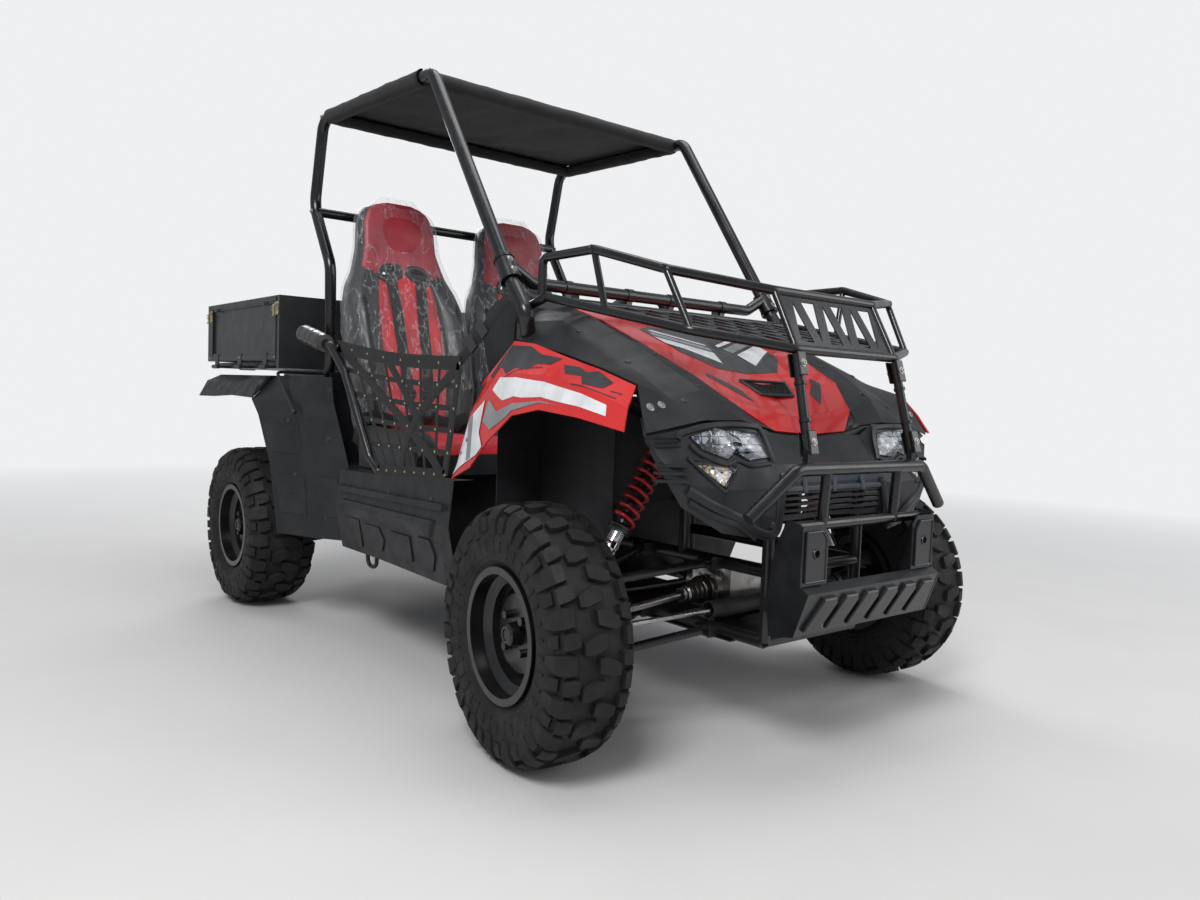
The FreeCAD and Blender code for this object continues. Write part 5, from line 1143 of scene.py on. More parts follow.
# Fields of the fender's stickers: outline in rows and columns, lift, and colour (0 black, 1 white, 2 grey).
FENDER_FIELDS = [
    ([(0.42, 1.26), (0.40, 1.66), (1.6, 1.66), (2.7, 1.60), (3.5, 1.46), (4.0, 1.16), (3.7, 0.98), (3.0, 1.10),
      (1.9, 1.20)], 0.9, 1),
    ([(1.5, 1.76), (2.9, 1.72), (3.7, 1.60), (4.14, 1.26), (4.36, 1.50), (3.95, 1.84), (3.2, 1.90)], 1.4, 2),
    ([(4.30, 1.16), (4.50, 1.62), (4.30, 1.96), (4.60, 1.96), (5.0, 1.86), (5.98, 1.75), (5.98, 1.05),
      (5.3, 1.10), (4.8, 1.10)], 2.2, 1),
    ([(4.80, 1.12), (5.02, 1.10), (5.16, 1.82), (4.92, 1.86)], 2.8, 2),
    ([(0.50, 0.30), (0.62, 0.72), (1.05, 0.92), (1.22, 0.58), (1.62, 0.70), (1.80, 0.36), (1.42, 0.22),
      (1.18, 0.34), (0.98, 0.10)], 0.9, 0),
    ([(1.95, 0.14), (2.12, 0.52), (2.55, 0.60), (2.74, 0.86), (3.25, 0.78), (3.55, 0.92), (3.86, 0.70),
      (4.30, 0.66), (4.62, 0.30), (4.2, 0.12), (3.1, 0.10), (2.6, 0.24)], 0.9, 0),
    ([(0.28, 0.86), (1.30, 1.02), (1.30, 1.06), (0.28, 0.91)], 0.9, 0),
    ([(0.20, 0.58), (0.46, 0.66), (0.46, 0.71), (0.20, 0.63)], 0.9, 0),
    ([(2.3, 0.66), (3.6, 1.0), (3.6, 1.04), (2.3, 0.71)], 0.9, 0),
    ([(4.75, 0.25), (5.30, 0.22), (5.50, 0.62), (4.90, 0.72)], 0.9, 0),
]
# The hood's, for one half; the other half mirrors it.
HOOD_FIELDS = [
    ([(2.45, 2.0), (2.45, 2.80), (2.85, 3.28), (3.75, 3.36), (3.95, 3.0), (3.95, 2.0)], 0.9, 0),
    ([(2.66, 2.44), (2.99, 2.30), (3.45, 3.32), (3.16, 3.32)], 1.3, 1),
    ([(3.06, 2.26), (3.22, 2.18), (3.66, 3.18), (3.52, 3.30)], 1.3, 2),
    ([(3.30, 2.14), (3.38, 2.14), (3.78, 3.05), (3.74, 3.20)], 1.3, 1),
    ([(1.30, 3.10), (1.72, 3.02), (2.20, 3.42), (2.06, 3.56), (1.62, 3.34)], 0.9, 0),
    ([(4.15, 2.0), (4.15, 3.0), (4.22, 3.05), (4.22, 2.0)], 0.9, 2),
]


def make_stickers():
    """Plain bands and shards in black, white and grey on the red panels."""
    build = Build()
    for outline, lift, colour in FENDER_FIELDS:
        FENDER.patch(build, outline, lift, colour)
    for outline, lift, colour in HOOD_FIELDS:
        HOOD.patch(build, outline, lift, colour)
    build.mirror()
    stickers = build.make("body_stickers", BLACK_STICKER, ROOT, 25.0, (WHITE_STICKER, GREY_STICKER))


def make_vent():
    """Honeycomb vent in the middle of the hood's nose, in a raised frame."""
    frame_part, mesh_part = Build(), Build()
    outline = [(1.70, 1.52), (1.70, 2.48), (2.14, 2.62), (2.14, 1.38)]
    corners = [HOOD.point(s, t, 2.0) for s, t in outline]
    border(frame_part, corners, 0.0042, 8)
    HOOD.patch(mesh_part, outline, 1.2, 0)
    cell = [(0, 0.0058), (0.0022, 0.0052), (0.0022, 0.0040), (0.0004, 0.0036)]
    for row in range(9):
        s = 1.73 + row * 0.048
        for column in range(17):
            t = 1.46 + column * 0.068 + (0.034 if row % 2 else 0)
            inset = (s - 1.7) / 0.44 * 0.14
            if not 1.52 - inset + 0.05 < t < 2.48 + inset - 0.05:
                continue
            centre = HOOD.point(s, t, 1.6)
            normal = (HOOD.point(s, t, 3.0) - centre).normalized()
            lathe(mesh_part, centre, normal, cell, 6)
    frame_part.make("vent_frame", MATERIALS["black_plastic"], ROOT)
    mesh_part.make("vent_mesh", MESH_BLACK, ROOT)


# Nose and lamps
# The nose from the middle outwards: distance from the centre plane, then (y, z) from top to foot.
NOSE_ROWS = [
    (0, (-272, 812), (-335, 747), (-350, 690), (-352, 640), (-350, 612)),
    (208, (-278, 816), (-335, 745), (-355, 690), (-357, 640), (-352, 606)),
    (240, (-292, 846), (-330, 750), (-360, 690), (-364, 620), (-362, 560)),
    (400, (-294, 846), (-316, 760), (-345, 690), (-345, 640), (-338, 588)),
    (500, (-274, 826), (-286, 770), (-306, 705), (-306, 680), (-300, 650)),
    (570, (-246, 806), (-247, 796), (-262, 785), (-262, 780), (-262, 775)),
]
# Outlines of the lamps seen from the front, as (x, z).
HEADLAMP = [(226, 762), (250, 822), (390, 836), (470, 812), (440, 782), (372, 758), (330, 770), (300, 755)]
MARKER = [(350, 738), (472, 752), (400, 694)]
LAMP_STEPS = 72


def nose_tree():
    rows = [[at(x, y, z) for y, z in points] for x, *points in NOSE_ROWS]
    flat = [p for row in rows for p in row]
    faces = [(j * 5 + i, j * 5 + i + 1, j * 5 + i + 6, j * 5 + i + 5) for j in range(5) for i in range(4)]
    return BVHTree.FromPolygons(flat, faces)


NOSE_TREE = nose_tree()


def on_nose(x, z, out=0.0):
    """Point of the nose's face seen from the front, moved forwards by a distance in millimetres."""
    found = NOSE_TREE.ray_cast(at(x, -700, z), Y_AXIS)[0]
    if found is None:
        found = NOSE_TREE.find_nearest(at(x, -330, z))[0]
    return Vector((x * MM, found.y - out * MM, z * MM))


def evenly(outline, count):
    """A closed outline cut into even steps."""
    runs = list(round_pairs([Vector(p) for p in outline]))
    total = sum((b - a).length for a, b in runs)
    line = []
    for n in range(count):
        want = total * n / count
        for a, b in runs:
            if want <= (b - a).length:
                line.append(a.lerp(b, want / (b - a).length))
                break
            want -= (b - a).length
    return line


def lamp_rings(outline, profile):
    """Rings of points shrunk towards the outline's middle: profile holds (share of the size, distance out)."""
    edge = evenly(outline, LAMP_STEPS)
    middle = sum(edge, Vector((0, 0))) / LAMP_STEPS
    rings = []
    for share, out in profile:
        ring = []
        for p in edge:
            spot = middle + (p - middle) * share
            rim = on_nose(*p)
            here = on_nose(*spot)
            here.y = max(here.y, rim.y) if share > 0.9 else here.y
            here.y -= out * MM
            ring.append(here)
        rings.append(ring)
    return rings


def make_lamps():
    """Headlamps and markers: clear covers over chrome reflectors, louvres and amber points."""
    covers, inside = Build(), Build()
    for outline, deep in ((HEADLAMP, 34), (MARKER, 16)):
        crown = [(0.985, 0.5), (0.95, 4), (0.8, 6), (0.5, 8), (0.2, 9), (0.02, 9)]
        covers.grid(lamp_rings(outline, crown), 0, loop=True)
        bowl = [(1.0, 3), (0.985, 3.4), (0.955, 2), (0.95, -6),
                (0.86, -deep * 0.8), (0.6, -deep), (0.02, -deep)]
        inside.grid(lamp_rings(outline, bowl[:4]), 1, loop=True)
        inside.grid(lamp_rings(outline, bowl[3:]), 0, loop=True)
    for cx, cz, radius in ((290, 790, 26), (358, 800, 25), (416, 806, 19)):
        centre = on_nose(cx, cz, -20)
        cup = [(-0.010, radius * MM), (0.004, radius * MM), (0.004, (radius - 3) * MM),
               (-0.006, radius * 0.5 * MM), (-0.008, 0.003)]
        lathe(inside, centre, -Y_AXIS, cup, 32)
        bulb = [(0, 0.009), (0.006, 0.008), (0.009, 0.004), (0.009, 0)]
        lathe(inside, centre - Y_AXIS * -0.006, -Y_AXIS, bulb, 20, 3)
    for z, x0, x1 in ((776, 244, 424), (794, 250, 446), (812, 256, 452), (826, 300, 420)):
        line = [on_nose(x0 + (x1 - x0) * n / 10, z, -6) for n in range(11)]
        ribbon(inside, line, [Y_AXIS] * 11, 0.013, 0.0016, 1)
    for x in (268, 324, 388, 432):
        ribbon(inside, [on_nose(x, 768 + 12 * n, -12) for n in range(5)], [Y_AXIS] * 5, 0.012, 0.0016, 0)
    for row in range(4):
        for column in range(4 - row):
            led = on_nose(374 + 24 * column + row * 8, 739 - 11 * row + column * 1.5, -10)
            lathe(inside, led, -Y_AXIS, [(0, 0.0042), (0.003, 0.0040), (0.0046, 0.0022), (0.005, 0)], 14, 2)
    covers.mirror()
    inside.mirror()
    cover = covers.make("lamp_covers", MATERIALS["lens"], ROOT, 50.0)
    thicken(cover, 2.2)
    linings = (MATERIALS["nose_plastic"], AMBER, PALE_LENS)
    reflectors = inside.make("lamp_reflectors", CHROME, ROOT, 40.0, linings)


# Mouldings on the nose, as seen from the front: points, distance out, steps, radius, sides and flatness.
NOSE_MOULDINGS = [
    ([(492, 690), (430, 655), (352, 622), (300, 590), (258, 578), (232, 592), (222, 640), (214, 682),
      (206, 700)], 3, 6, 0.013, 10, 0.55),
    ([(486, 664), (420, 628), (350, 604), (300, 572)], 2, 6, 0.008, 8, 0.6),
    ([(222, 752), (236, 820), (262, 838), (392, 840), (486, 820), (500, 806)], 2.5, 6, 0.0075, 8, 0.7),
    ([(470, 792), (446, 772), (384, 748), (340, 756), (300, 744), (232, 748)], 2, 5, 0.0055, 8, 0.7),
]


def make_nose_trim():
    """Raised border round the mouth, brow over each lamp, and the grille's lighter bars."""
    build = Build()
    for points, out, spans, radius, sides, flat in NOSE_MOULDINGS:
        line = smooth_line([on_nose(x, z, out) for x, z in points], spans)
        sweep(build, line, radius, sides, 0, flat, Y_AXIS.cross(line[1] - line[0]))
    rim = [on_nose(x, z, 2) for x, z in ((342, 745), (480, 762), (402, 684), (342, 745))]
    for a, b in zip(rim, rim[1:]):
        sweep(build, [a, a.lerp(b, 0.5), b], 0.0045, 8, 0, 0.7, Y_AXIS.cross(b - a))
    for z in (790, 800, 810):
        line = [on_nose(494 + 8 * n, z - n * 0.5, 2) for n in range(8)]
        ribbon(build, line, [Z_AXIS] * 8, 0.004, 0.005)
    build.mirror()
    build.make("nose_trim", MATERIALS["nose_plastic"], ROOT, 40.0)
    bars = Build()
    for z, tall, out in ((710, 0.030, 3), (684, 0.014, 3)):
        line = [on_nose(-206 + 41.2 * n, z, out) for n in range(11)]
        ribbon(bars, line, [Z_AXIS] * 11, tall, 0.006)
    for x in (-120, 0, 120):
        line = [on_nose(x, 676 + 8 * n, 7) for n in range(6)]
        ribbon(bars, line, [X_AXIS] * 6, 0.018, 0.006)
    bars.make("grille_bars", GRILLE, ROOT, 40.0)


# Search trees of CAD nodes, each made when first needed.
TREES = {}


def hit(node, start, direction):
    """Where a line meets a CAD node: the point and the surface's direction there."""
    if node not in TREES:
        mesh = frame["nodes"][node].data
        TREES[node] = BVHTree.FromPolygons([v.co for v in mesh.vertices], [p.vertices for p in mesh.polygons])
    spot, normal, *_ = TREES[node].ray_cast(at(*start), Vector(direction))
    if spot is None:
        raise RuntimeError("nothing of %s on the line from %s" % (node, start))
    return spot, (normal if normal.dot(Vector(direction)) < 0 else -normal)


# Screws: node, direction of the line of sight, radius, height, whether it is bright, and where the lines start.
UP, DOWN, IN, BACK = (0, 0, 1), (0, 0, -1), (1, 0, 0), (0, 1, 0)
SCREWS = [
    ("side_fairings", DOWN, 6, 3, 0, [(-425, -220, 1400), (-345, -185, 1400), (-470, -60, 1400),
                                      (-352, -30, 1400), (-478, 130, 1400), (-372, 230, 1400)]),
    ("side_fairings", DOWN, 7, 4, 1, [(-540, -226, 1400), (-505, -226, 1400)]),
    ("sills", IN, 7, 4, 0, [(-900, 620, 570), (-900, 900, 560), (-900, 1200, 560)]),
    ("sills", IN, 6, 3, 0, [(-900, 560, 380)]),
    ("rear_fenders", IN, 7, 4, 0, [(-900, 1500, 880), (-900, 1450, 700), (-900, 1560, 560)]),
    ("rear_fenders", IN, 6, 3, 0, [(-900, 1400, 420), (-900, 1640, 760)]),
    ("front_fenders", IN, 6, 3, 0, [(-900, 440, 760), (-900, 470, 720)]),
    ("skid_guard", BACK, 8, 5, 1, [(-190, -700, 376)]),
    ("nose", BACK, 6, 3, 0, [(-250, -700, 600), (-470, -700, 672)]),
    ("belly_plate", UP, 7, 4, 1, [(-160, 300, 100), (-160, 900, 100), (-160, 1500, 100)]),
]


def make_screws():
    build = Build()
    for node, direction, radius, height, bright, starts in SCREWS:
        for start in starts:
            spot, normal = hit(node, start, direction)
            bolt(build, spot, normal, radius, height, bright, 6 if bright else 16)
    build.mirror()
    build.make("panel_screws", BLACK_BOLT, ROOT, 35.0, (BOLT,))


make_stickers()
make_vent()
make_lamps()
make_nose_trim()
make_screws()


# Small fittings
# Backing below the edges of hood and fairings: front foot, front top and rear edge.
INFILL_ROWS = [
    [(0, -268, 800), (208, -272, 806), (240, -284, 836), (390, -286, 838), (500, -266, 818), (566, -242, 800)],
    [(0, -262, 812), (150, -262, 820), (216, -262, 838), (300, -280, 846), (420, -276, 844), (578, -250, 810)],
    [(0, -230, 820), (150, -232, 830), (224, -220, 862), (320, -230, 868), (430, -226, 862), (560, -214, 850)],
]


def make_infill():
    """Black backing that closes the joints between nose, hood and fairings, and a web in the rear fender."""
    build = Build()
    build.grid([[at(*p) for p in row] for row in INFILL_ROWS])
    build.add([at(146, -272, 824), at(220, -270, 841), at(236, -222, 881), at(196, -244, 852)], [(0, 1, 2, 3)])
    build.add([at(735, 1897, 838), at(700, 1897, 924), at(640, 1897, 929)], [(0, 1, 2)])
    build.mirror()
    infill = build.make("nose_infill", MATERIALS["black_plastic"], ROOT, 40.0)
    thicken(infill, 2.5)


def collar(build, centre, along, radius, width, spot=0, gap_side=None):
    """Clamp round a tube: two half shells with ears and a bolt through them."""
    r, w = radius * MM, width * MM
    lathe(build, centre, along, band(-w / 2, w / 2, r - 0.001, r + 0.003), 28, spot)
    if gap_side is not None:
        side = (gap_side - along * gap_side.dot(along)).normalized()
        up = along.cross(side)
        for step in (-1, 1):
            slab(build, centre + side * (r + 0.010) + up * (step * 0.0045), (side, along, up * step),
                 (0.018, w * 0.9, 0.004), 0.001, spot)
        bolt(build, centre + side * (r + 0.011) + up * 0.0066, up, 5, 5, 1)


def make_cage_fittings():
    """Clamps of the cowl bar and the pillars, roof bolts, and rings of the couplings."""
    build = Build()
    for x in (90, 330):
        collar(build, at(-x, 385, 1212), X_AXIS, 18, 26, 0, -Z_AXIS)
    foot, top = at(-548, 345, 1195), at(-548, 830, 1885)
    along = (top - foot).normalized()
    for share in (0.020, 0.090):
        lathe(build, foot + along * share, along, band(-0.004, 0.004, 0.026, 0.0305), 32)
    side = along.cross(X_AXIS).normalized()
    for share in (0.036, 0.072):
        for hand in (-1, 1):
            bolt(build, foot + along * share + side * (0.0275 * hand), side * hand, 6, 5, 1)
    for y, z, x in ((838, 1886, 560), (1640, 1907, 574)):
        bolt(build, at(-x, y, z + 8), Vector((-1, 0, 0.45)), 6, 5, 1)
    bolt(build, at(-583, 1700, 1567), -X_AXIS, 7, 6, 1)
    build.mirror()
    build.make("cage_clamps", MATERIALS["black_tube"], ROOT, 40.0, (BOLT,))


def make_rack_fittings():
    """Flattened, bolted ends of the rack's struts and the small ties of its floor grid."""
    build = Build()
    upper, lower = at(-207, -376, 1012), at(-219, -436, 790)
    along = (upper - lower).normalized()
    front = along.cross(X_AXIS).normalized()
    if front.y > 0:
        front = -front
    for centre in (lower + along * 0.014, upper - along * 0.022):
        for out in (front, -front):
            slab(build, centre + out * 0.0145, (X_AXIS, along, out), (0.030, 0.058, 0.006), 0.002)
        for out in (front, -front):
            bolt(build, centre + out * 0.0175, out, 7, 6, 1)
    for share in (0.30, 0.70):
        collar(build, lower.lerp(upper, share), along, 12, 8)
    for x, y, z in ((-519, 29, 1266), (-461, -176, 1207)):
        lathe(build, at(x, y, z), X_AXIS, [(-0.014, 0.0), (-0.010, 0.011), (0.010, 0.011), (0.014, 0.0)], 16)
    build.mirror()
    build.make("rack_fittings", MATERIALS["black_tube"], ROOT, 40.0, (BOLT,))


def make_guard_ribs():
    """Six slanted ribs on the skid guard's lower face, and the bevels of its inset plates."""
    build = Build()
    top, low = at(0, -501, 459), at(0, -463, 352)
    down = (low - top).normalized()
    out = X_AXIS.cross(down)
    if out.y > 0:
        out = -out
    for n in range(6):
        x = -228 + n * 84
        outline = [(x + 12, 14), (x + 58, 14), (x + 66, 26), (x + 28, 99), (x - 28, 99), (x - 24, 84)]
        cx, cv = (sum(values) / len(outline) for values in zip(*outline))
        rows = []
        for lift, inset in ((-0.001, 1.0), (0.007, 1.0), (0.010, 0.92)):
            across = [(cx + (u - cx) * inset) * MM for u, _ in outline]
            along = [(cv + (v - cv) * inset) * MM for _, v in outline]
            rows.append([top + X_AXIS * u + down * v + out * lift for u, v in zip(across, along)])
        build.grid(rows, loop=True)
        build.cap(rows[-1])
    for side in (RIGHT, LEFT):
        plate = [(192, 482), (192, 580), (208, 600), (266, 600), (266, 482)]
        border(build, [at(side * x, -481.5, z) for x, z in plate], 0.0022, 6)
        ring = [(0, 0.009), (0, 0.013), (0.002, 0.012), (0.002, 0.009)]
        lathe(build, at(side * 229, -481.5, 548), -Y_AXIS, ring, 24)
    build.make("guard_ribs", MATERIALS["guard_black"], ROOT, 30.0)


# Outer face of the bed's sides, and height of the latches on it.
BED_SIDE, LATCH_Z = 662, 1196


def make_latches():
    """Toggle latches: at the front they hold each side to the headboard, at the back the gate to each side."""
    for side, hand in HANDS:
        panel = "bed_side_" + hand
        for y, end, carrier, other in ((1838, "front", "bed", panel), (2678, "rear", panel, "tailgate")):
            build = Build()
            base, out = at(side * BED_SIDE, y, LATCH_Z), X_AXIS * side
            slab(build, base, (Y_AXIS, Z_AXIS, out), (0.030, 0.052, 0.003), 0.001)
            lever = [base + out * 0.004 + Z_AXIS * 0.018, base + out * 0.014 + Z_AXIS * 0.006,
                     base + out * 0.013 - Z_AXIS * 0.020, base + out * 0.018 - Z_AXIS * 0.034]
            ribbon(build, smooth_line(lever, 4), [Y_AXIS] * 13, 0.018, 0.003)
            lathe(build, base + out * 0.007 + Z_AXIS * 0.012 - Y_AXIS * 0.014, Y_AXIS,
                  [(0, 0), (0, 0.004), (0.028, 0.004), (0.028, 0)], 14)
            for z in (-0.006, 0.006):
                line = [base + out * 0.011 + Z_AXIS * z + Y_AXIS * t for t in (0.0, 0.012, 0.024, 0.034)]
                sweep(build, line, 0.0018, 8)
            for z in (-0.020, 0.020):
                bolt(build, base + out * 0.0015 + Z_AXIS * z - Y_AXIS * 0.009, out, 2.6, 2, 0, 12)
            build.make("latch_%s_%s" % (end, hand), ZINC, carrier, 40.0)
            keeper = Build()
            place = at(side * BED_SIDE, y + 38, LATCH_Z)
            slab(keeper, place, (Y_AXIS, Z_AXIS, out), (0.014, 0.034, 0.006), 0.002)
            keeper.make("keeper_%s_%s" % (end, hand), ZINC, other, 40.0)


# Height and width of the strips along the top and foot of a bed panel, and the size of its posts.
BED_STRIPS = ((1236, 0.020), (1003, 0.022))
BED_POST = (0.040, 0.212, 0.003)


def make_bed_trim():
    """Strips, posts, screws and tie hooks on the outside of the bed's drop sides and tailgate."""
    for side, hand in HANDS:
        build = Build()
        y0, y1, out = 1846, 2699, X_AXIS * side
        middle, long = (y0 + y1) / 2, (y1 - y0 - 4) * MM
        for z, high in BED_STRIPS:
            slab(build, at(side * 661.5, middle, z), (Y_AXIS, Z_AXIS, out), (long, high, 0.003), 0.0012)
        for y in (y0 + 22, y1 - 22):
            slab(build, at(side * 661.5, y, 1119), (Y_AXIS, Z_AXIS, out), BED_POST, 0.0012)
        for y in (y0 + 10, y0 + (y1 - y0) * 0.5, y1 - 10):
            bolt(build, at(side * 663, y, 1003), out, 4, 3, 1, 14)
        for y in (y0 + 120, y1 - 120):
            hook = [at(side * 660, y - 14, 1226), at(side * 668, y - 10, 1216), at(side * 670, y, 1212),
                    at(side * 668, y + 10, 1216), at(side * 660, y + 14, 1226)]
            sweep(build, smooth_line(hook, 4), 0.003, 8)
        body = "bed_side_" + hand
        build.make("side_trim_" + hand, MATERIALS["bed_grey"], body, 40.0, (BOLT,))
    build = Build()
    for z, high in BED_STRIPS:
        slab(build, at(0, 2731.5, z), (X_AXIS, Z_AXIS, Y_AXIS), (1.310, high, 0.003), 0.0012)
    for x in (-635, 0, 635):
        slab(build, at(x, 2731.5, 1119), (X_AXIS, Z_AXIS, Y_AXIS), BED_POST, 0.0012)
        bolt(build, at(x, 2733, 1003), Y_AXIS, 4, 3, 1, 14)
    build.make("gate_trim", MATERIALS["bed_grey"], "tailgate", 40.0, (BOLT,))


# Half widths and half heights of the instrument pod and the steering wheel's pad, in metres.
POD_HALF, PAD_HALF = (0.082, 0.048), (0.052, 0.044)


def squared_ring(middle, side, up, wide, tall, power, count):
    """Closed line between an ellipse and a rectangle; a smaller power squares it more."""
    ring = []
    for angle in turns_of(count):
        across = wide * signed_power(math.cos(angle), power)
        above = tall * signed_power(math.sin(angle), power)
        ring.append(middle + side * across + up * above)
    return ring


def make_dash_trim():
    """Instrument pod, rocker switches, glove box lines, air vents and the drive selector."""
    build = Build()
    pod = at(272, 606, 1158)
    tilt = Vector((0, 0.86, 0.51)).normalized()
    side, up = X_AXIS, tilt.cross(X_AXIS)
    rows = []
    steps = ((1.0, -0.030), (1.0, 0.010), (0.95, 0.018), (0.87, 0.018), (0.85, 0.010), (0.02, 0.010))
    for share, lift in steps:
        ring = squared_ring(pod, side, up, POD_HALF[0] * share, POD_HALF[1] * share, 0.55, 48)
        rows.append([point + tilt * lift for point in ring])
    build.grid(rows[:5], 0, loop=True)
    build.grid(rows[4:], 1, loop=True)
    for n in range(4):
        slab(build, at(60 + 34 * n, 604, 1096), (X_AXIS, Vector((0, -0.2, 0.98)), Vector((0, 0.98, 0.2))),
             (0.024, 0.040, 0.010), 0.003)
    corners = [Vector(p) for p in ((-420, 900, 985), (-80, 900, 985), (-80, 900, 1095), (-420, 900, 1095))]
    for a, b in round_pairs(corners):
        sweep(build, [hit("dashboard", a.lerp(b, n / 8), (0, -1, 0))[0] for n in range(9)], 0.0022, 6)
    slab(build, at(-250, 608, 1082), (X_AXIS, Z_AXIS, Y_AXIS), (0.060, 0.014, 0.010), 0.003)
    for x in (-440, 440):
        spot, normal = hit("dashboard", (x, 900, 1090), (0, -1, 0))
        lathe(build, spot, normal, [(-0.004, 0.030), (0.006, 0.030), (0.008, 0.026), (0.003, 0.024)], 28)
        for n in range(-2, 3):
            vane = spot + normal * 0.004 + Z_AXIS * (n * 0.009)
            slab(build, vane, (X_AXIS, normal, Z_AXIS), (0.044, 0.006, 0.0018))
    knob = [at(150, 600, 1040), at(150, 640, 1056), at(150, 676, 1078)]
    sweep(build, smooth_line(knob, 6), 0.005, 10)
    head = [(-0.012, 0.006), (-0.006, 0.013), (0.008, 0.016), (0.020, 0.014), (0.026, 0.008), (0.028, 0)]
    lathe(build, knob[-1], Vector((0, 0.8, 0.6)), head, 24)
    build.make("dash_trim", MATERIALS["black_plastic"], ROOT, 40.0, (SCREEN,))


# Radius of the steering wheel's rim and of the grip round it, in metres.
RIM_RADIUS, GRIP_RADIUS = 0.165, 0.0132


def make_steering_trim():
    """Moulded pad over the hub, thumb rests and the stitched seam of the steering wheel's rim."""
    joint = JOINTS["steering_wheel_turn"]
    hub = at(272, 800, 1130)
    axis = Vector(joint["axis"]).normalized()
    if axis.y < 0:
        axis = -axis
    side = X_AXIS
    up = axis.cross(side).normalized()
    build = Build()
    rows = []
    for share, lift in ((1.0, 0.006), (1.0, 0.022), (0.9, 0.030), (0.6, 0.034), (0.02, 0.035)):
        ring = squared_ring(hub, side, up, PAD_HALF[0] * share, PAD_HALF[1] * share, 0.6, 40)
        rows.append([point + axis * lift for point in ring])
    build.grid(rows, loop=True)
    for angle in turns_of(90):
        radial = side * math.cos(angle) + up * math.sin(angle)
        tangent = up * math.cos(angle) - side * math.sin(angle)
        inner = hub + radial * (RIM_RADIUS - GRIP_RADIUS)
        ahead, deep = tangent * 0.003, axis * 0.0022
        stitch = [inner - ahead - deep, inner, inner + ahead + deep]
        sweep(build, stitch, 0.0007, 5, 1)
    for angle in (0.35, math.pi - 0.35, math.pi * 1.12, math.tau - math.pi * 0.12):
        radial = side * math.cos(angle) + up * math.sin(angle)
        centre = hub + radial * 0.160
        lathe(build, centre + axis * 0.004, axis, [(0, 0.010), (0.008, 0.010), (0.012, 0.006), (0.013, 0)], 16)
    build.make("steering_pad", MATERIALS["grip"], "steering_wheel", 40.0, (GREY_STICKER,))


def make_tail_lamps():
    """Red boards with a row of dimples inside the rear lamps' clear blocks."""
    build = Build()
    slab(build, at(645, 2609, 880), (X_AXIS, Z_AXIS, Y_AXIS), (0.084, 0.046, 0.012), 0.001)
    for n in range(5):
        lathe(build, at(613 + 16 * n, 2615, 880), Y_AXIS, [(0, 0.007), (0.003, 0.006), (0.004, 0.0)], 16)
    build.mirror()
    build.make("tail_boards", TAIL_RED, ROOT, 40.0)


# Axis of the muffler: place along the vehicle and height.
MUFFLER = (2200, 560)


def make_running_details():
    """Bolts of the drive flanges, and the straps and end caps of the muffler."""
    build = Build()
    for axle_y in (0, REAR_AXLE):
        for hand in (RIGHT, LEFT):
            for a in turns_of(6):
                spot = at(hand * FLANGE_X, axle_y + 44 * math.cos(a), FLANGE_Z + 44 * math.sin(a))
                bolt(build, spot, X_AXIS * hand, 4, 4, 1)
    for x in (-150, 150):
        collar(build, at(x, *MUFFLER), X_AXIS, 62, 16, 2)
    for hand in (RIGHT, LEFT):
        end_cap = [(-0.006, 0.0632), (0.003, 0.0632), (0.006, 0.056), (0.004, 0.0)]
        lathe(build, at(hand * 205, *MUFFLER), X_AXIS * hand, end_cap, 40, 2)
    metals = (BOLT, MATERIALS["muffler_metal"])
    build.make("running_details", MATERIALS["cast_steel"], ROOT, 40.0, metals)


make_infill()
make_cage_fittings()
make_rack_fittings()
make_guard_ribs()
make_latches()
make_bed_trim()
make_dash_trim()
make_steering_trim()
make_running_details()
make_tail_lamps()


# Moulded fields of the side panels
def raised(build, node, outline, lift, inset=0.88):
    """Raised field on the right side of a panel: outline as (y, z), seen from outside, and its lift."""
    ring = []
    for (y, z), (y_next, z_next) in round_pairs(outline):
        for share in (0, 0.25, 0.5, 0.75):
            ring.append(hit(node, (-900, y + (y_next - y) * share, z + (z_next - z) * share), IN))
    middle = sum((spot for spot, _ in ring), Vector()) / len(ring)
    rows = []
    for height, share in ((-0.001, 1.0), (lift * MM * 0.55, 0.99), (lift * MM, inset), (lift * MM, 0.03)):
        rows.append([middle + (spot - middle) * share - X_AXIS * height for spot, _ in ring])
    build.grid(rows, loop=True)


def make_panel_fields():
    """Ledge, long block and pads of the sills and rear fenders, and the hook below each sill."""
    build = Build()
    raised(build, "sills", [(532, 566), (1268, 552), (1268, 533), (532, 547)], 13, 0.985)
    raised(build, "sills", [(585, 512), (1236, 506), (1216, 458), (610, 458)], 9, 0.97)
    raised(build, "rear_fenders", [(1338, 420), (1422, 420), (1462, 560), (1372, 560)], 7)
    raised(build, "rear_fenders", [(1476, 420), (1596, 420), (1648, 560), (1516, 560)], 6)
    raised(build, "rear_fenders", [(1546, 640), (1690, 640), (1772, 745), (1588, 745)], 6)
    hook = [at(-590, y, z) for y, z in ((1060, 324), (1063, 300), (1080, 286),
                                       (1110, 286), (1127, 300), (1130, 324))]
    sweep(build, smooth_line(hook, 4), 0.007, 10)
    build.mirror()
    build.make("panel_fields", MATERIALS["black_plastic"], ROOT, 30.0)


make_panel_fields()


# Camera, light and floor
FOCAL_PIXELS = 915.12
CAMERA_PLACE = (-1976, -1790, 901)
# Turn, tilt and roll of the camera, in degrees.
CAMERA_ANGLES = (-39.514, 3.457, 2.103)


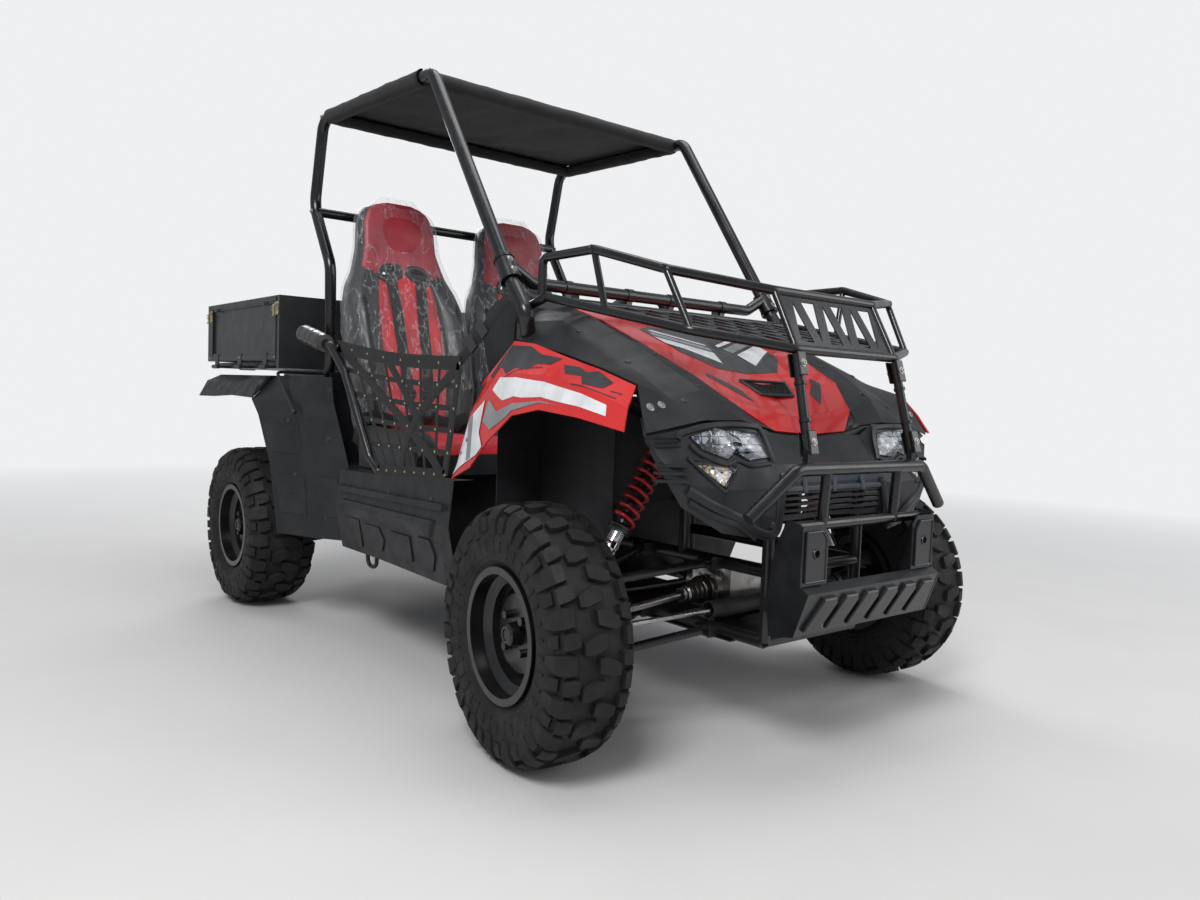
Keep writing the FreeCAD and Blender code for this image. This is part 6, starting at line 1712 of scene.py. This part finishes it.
def add_camera():
    """The photograph's viewpoint: 1200 by 900 pixels, with its focal length in pixels."""
    data = bpy.data.cameras.new("camera")
    data.sensor_width = 36
    data.lens = FOCAL_PIXELS / 1200 * data.sensor_width
    turn, tilt, roll = (math.radians(angle) for angle in CAMERA_ANGLES)
    back = Vector((math.sin(turn) * math.cos(tilt), -math.cos(turn) * math.cos(tilt), math.sin(tilt)))
    right = (-back).cross(Z_AXIS).normalized()
    down = (-back).cross(right)
    x_axis = math.cos(roll) * right - math.sin(roll) * down
    y_axis = -(math.sin(roll) * right + math.cos(roll) * down)
    camera = bpy.data.objects.new("camera", data)
    camera.matrix_world = Matrix((x_axis, y_axis, back)).transposed().to_4x4()
    camera.matrix_world.translation = at(*CAMERA_PLACE)
    bpy.context.scene.collection.objects.link(camera)
    bpy.context.scene.camera = camera


# The point that all lights face.
LIT_POINT = (0, 0, 0.7)
# Name, place and size in metres, and power in watts.
LIGHTS = [("key", (-4.2, -3.4, 5.2), 2.2, 270), ("fill", (3.8, -5.0, 3.0), 4.0, 100),
          ("rear", (1.5, 5.5, 4.2), 3.0, 120), ("top", (0.5, -0.5, 6.0), 3.5, 110)]


def add_light(name, place, size, power):
    data = bpy.data.lights.new(name, "AREA")
    data.size = size
    data.energy = power
    light = bpy.data.objects.new(name, data)
    light.location = place
    light.rotation_euler = (Vector(place) - Vector(LIT_POINT)).to_track_quat("Z", "Y").to_euler()
    bpy.context.scene.collection.objects.link(light)


BACKDROP = (0.86, 0.87, 0.88)
# Where the floor starts to fade and where it is gone, in metres.
FADE = (2.4, 7.5)


def fade_far(shade):
    """The floor runs into the backdrop's colour, for the camera, from a few metres out."""
    reach = shade.node("ShaderNodeVectorMath", {0: shade.place}, operation="LENGTH").outputs["Value"]
    far = shade.fit(reach, *FADE)
    seen = shade.node("ShaderNodeLightPath").outputs["Is Camera Ray"]
    plain = shade.node("ShaderNodeEmission", {"Color": (*BACKDROP, 1), "Strength": 1.0})
    mixed = shade.node("ShaderNodeMixShader", {0: shade.math("MULTIPLY", far, seen)})
    shade.tree.links.new(shade.shader.outputs[0], mixed.inputs[1])
    shade.tree.links.new(plain.outputs[0], mixed.inputs[2])
    shade.tree.links.new(mixed.outputs[0], shade.tree.nodes["Material Output"].inputs["Surface"])


def add_stage():
    """Pale floor, white surroundings for the camera, and soft lights."""
    bpy.ops.mesh.primitive_plane_add(size=60)
    floor = bpy.context.object
    floor.name = "floor"
    shade = Shade("pale_floor", (0.62, 0.61, 0.6), 0.8)
    shade.mottle((0.625, 0.615, 0.605), (0.645, 0.635, 0.625), 2.0)
    fade_far(shade)
    floor.data.materials.append(shade.mat)
    world = bpy.data.worlds.new("studio")
    bpy.context.scene.world = world
    world.use_nodes = True
    tree = world.node_tree
    plain = tree.nodes["Background"]
    plain.inputs["Color"].default_value = (0.9, 0.94, 1.0, 1)
    plain.inputs["Strength"].default_value = 0.42
    white = tree.nodes.new("ShaderNodeBackground")
    white.inputs["Color"].default_value = (*BACKDROP, 1)
    white.inputs["Strength"].default_value = 1.0
    path = tree.nodes.new("ShaderNodeLightPath")
    either = tree.nodes.new("ShaderNodeMath")
    either.operation = "MAXIMUM"
    mix = tree.nodes.new("ShaderNodeMixShader")
    for source, socket in ((path.outputs["Is Camera Ray"], either.inputs[0]),
                           (path.outputs["Is Transmission Ray"], either.inputs[1]),
                           (either.outputs[0], mix.inputs[0]), (plain.outputs[0], mix.inputs[1]),
                           (white.outputs[0], mix.inputs[2]),
                           (mix.outputs[0], tree.nodes["World Output"].inputs["Surface"])):
        tree.links.new(source, socket)
    for light in LIGHTS:
        add_light(*light)
    bpy.context.scene.view_settings.view_transform = "Standard"


add_camera()
add_stage()
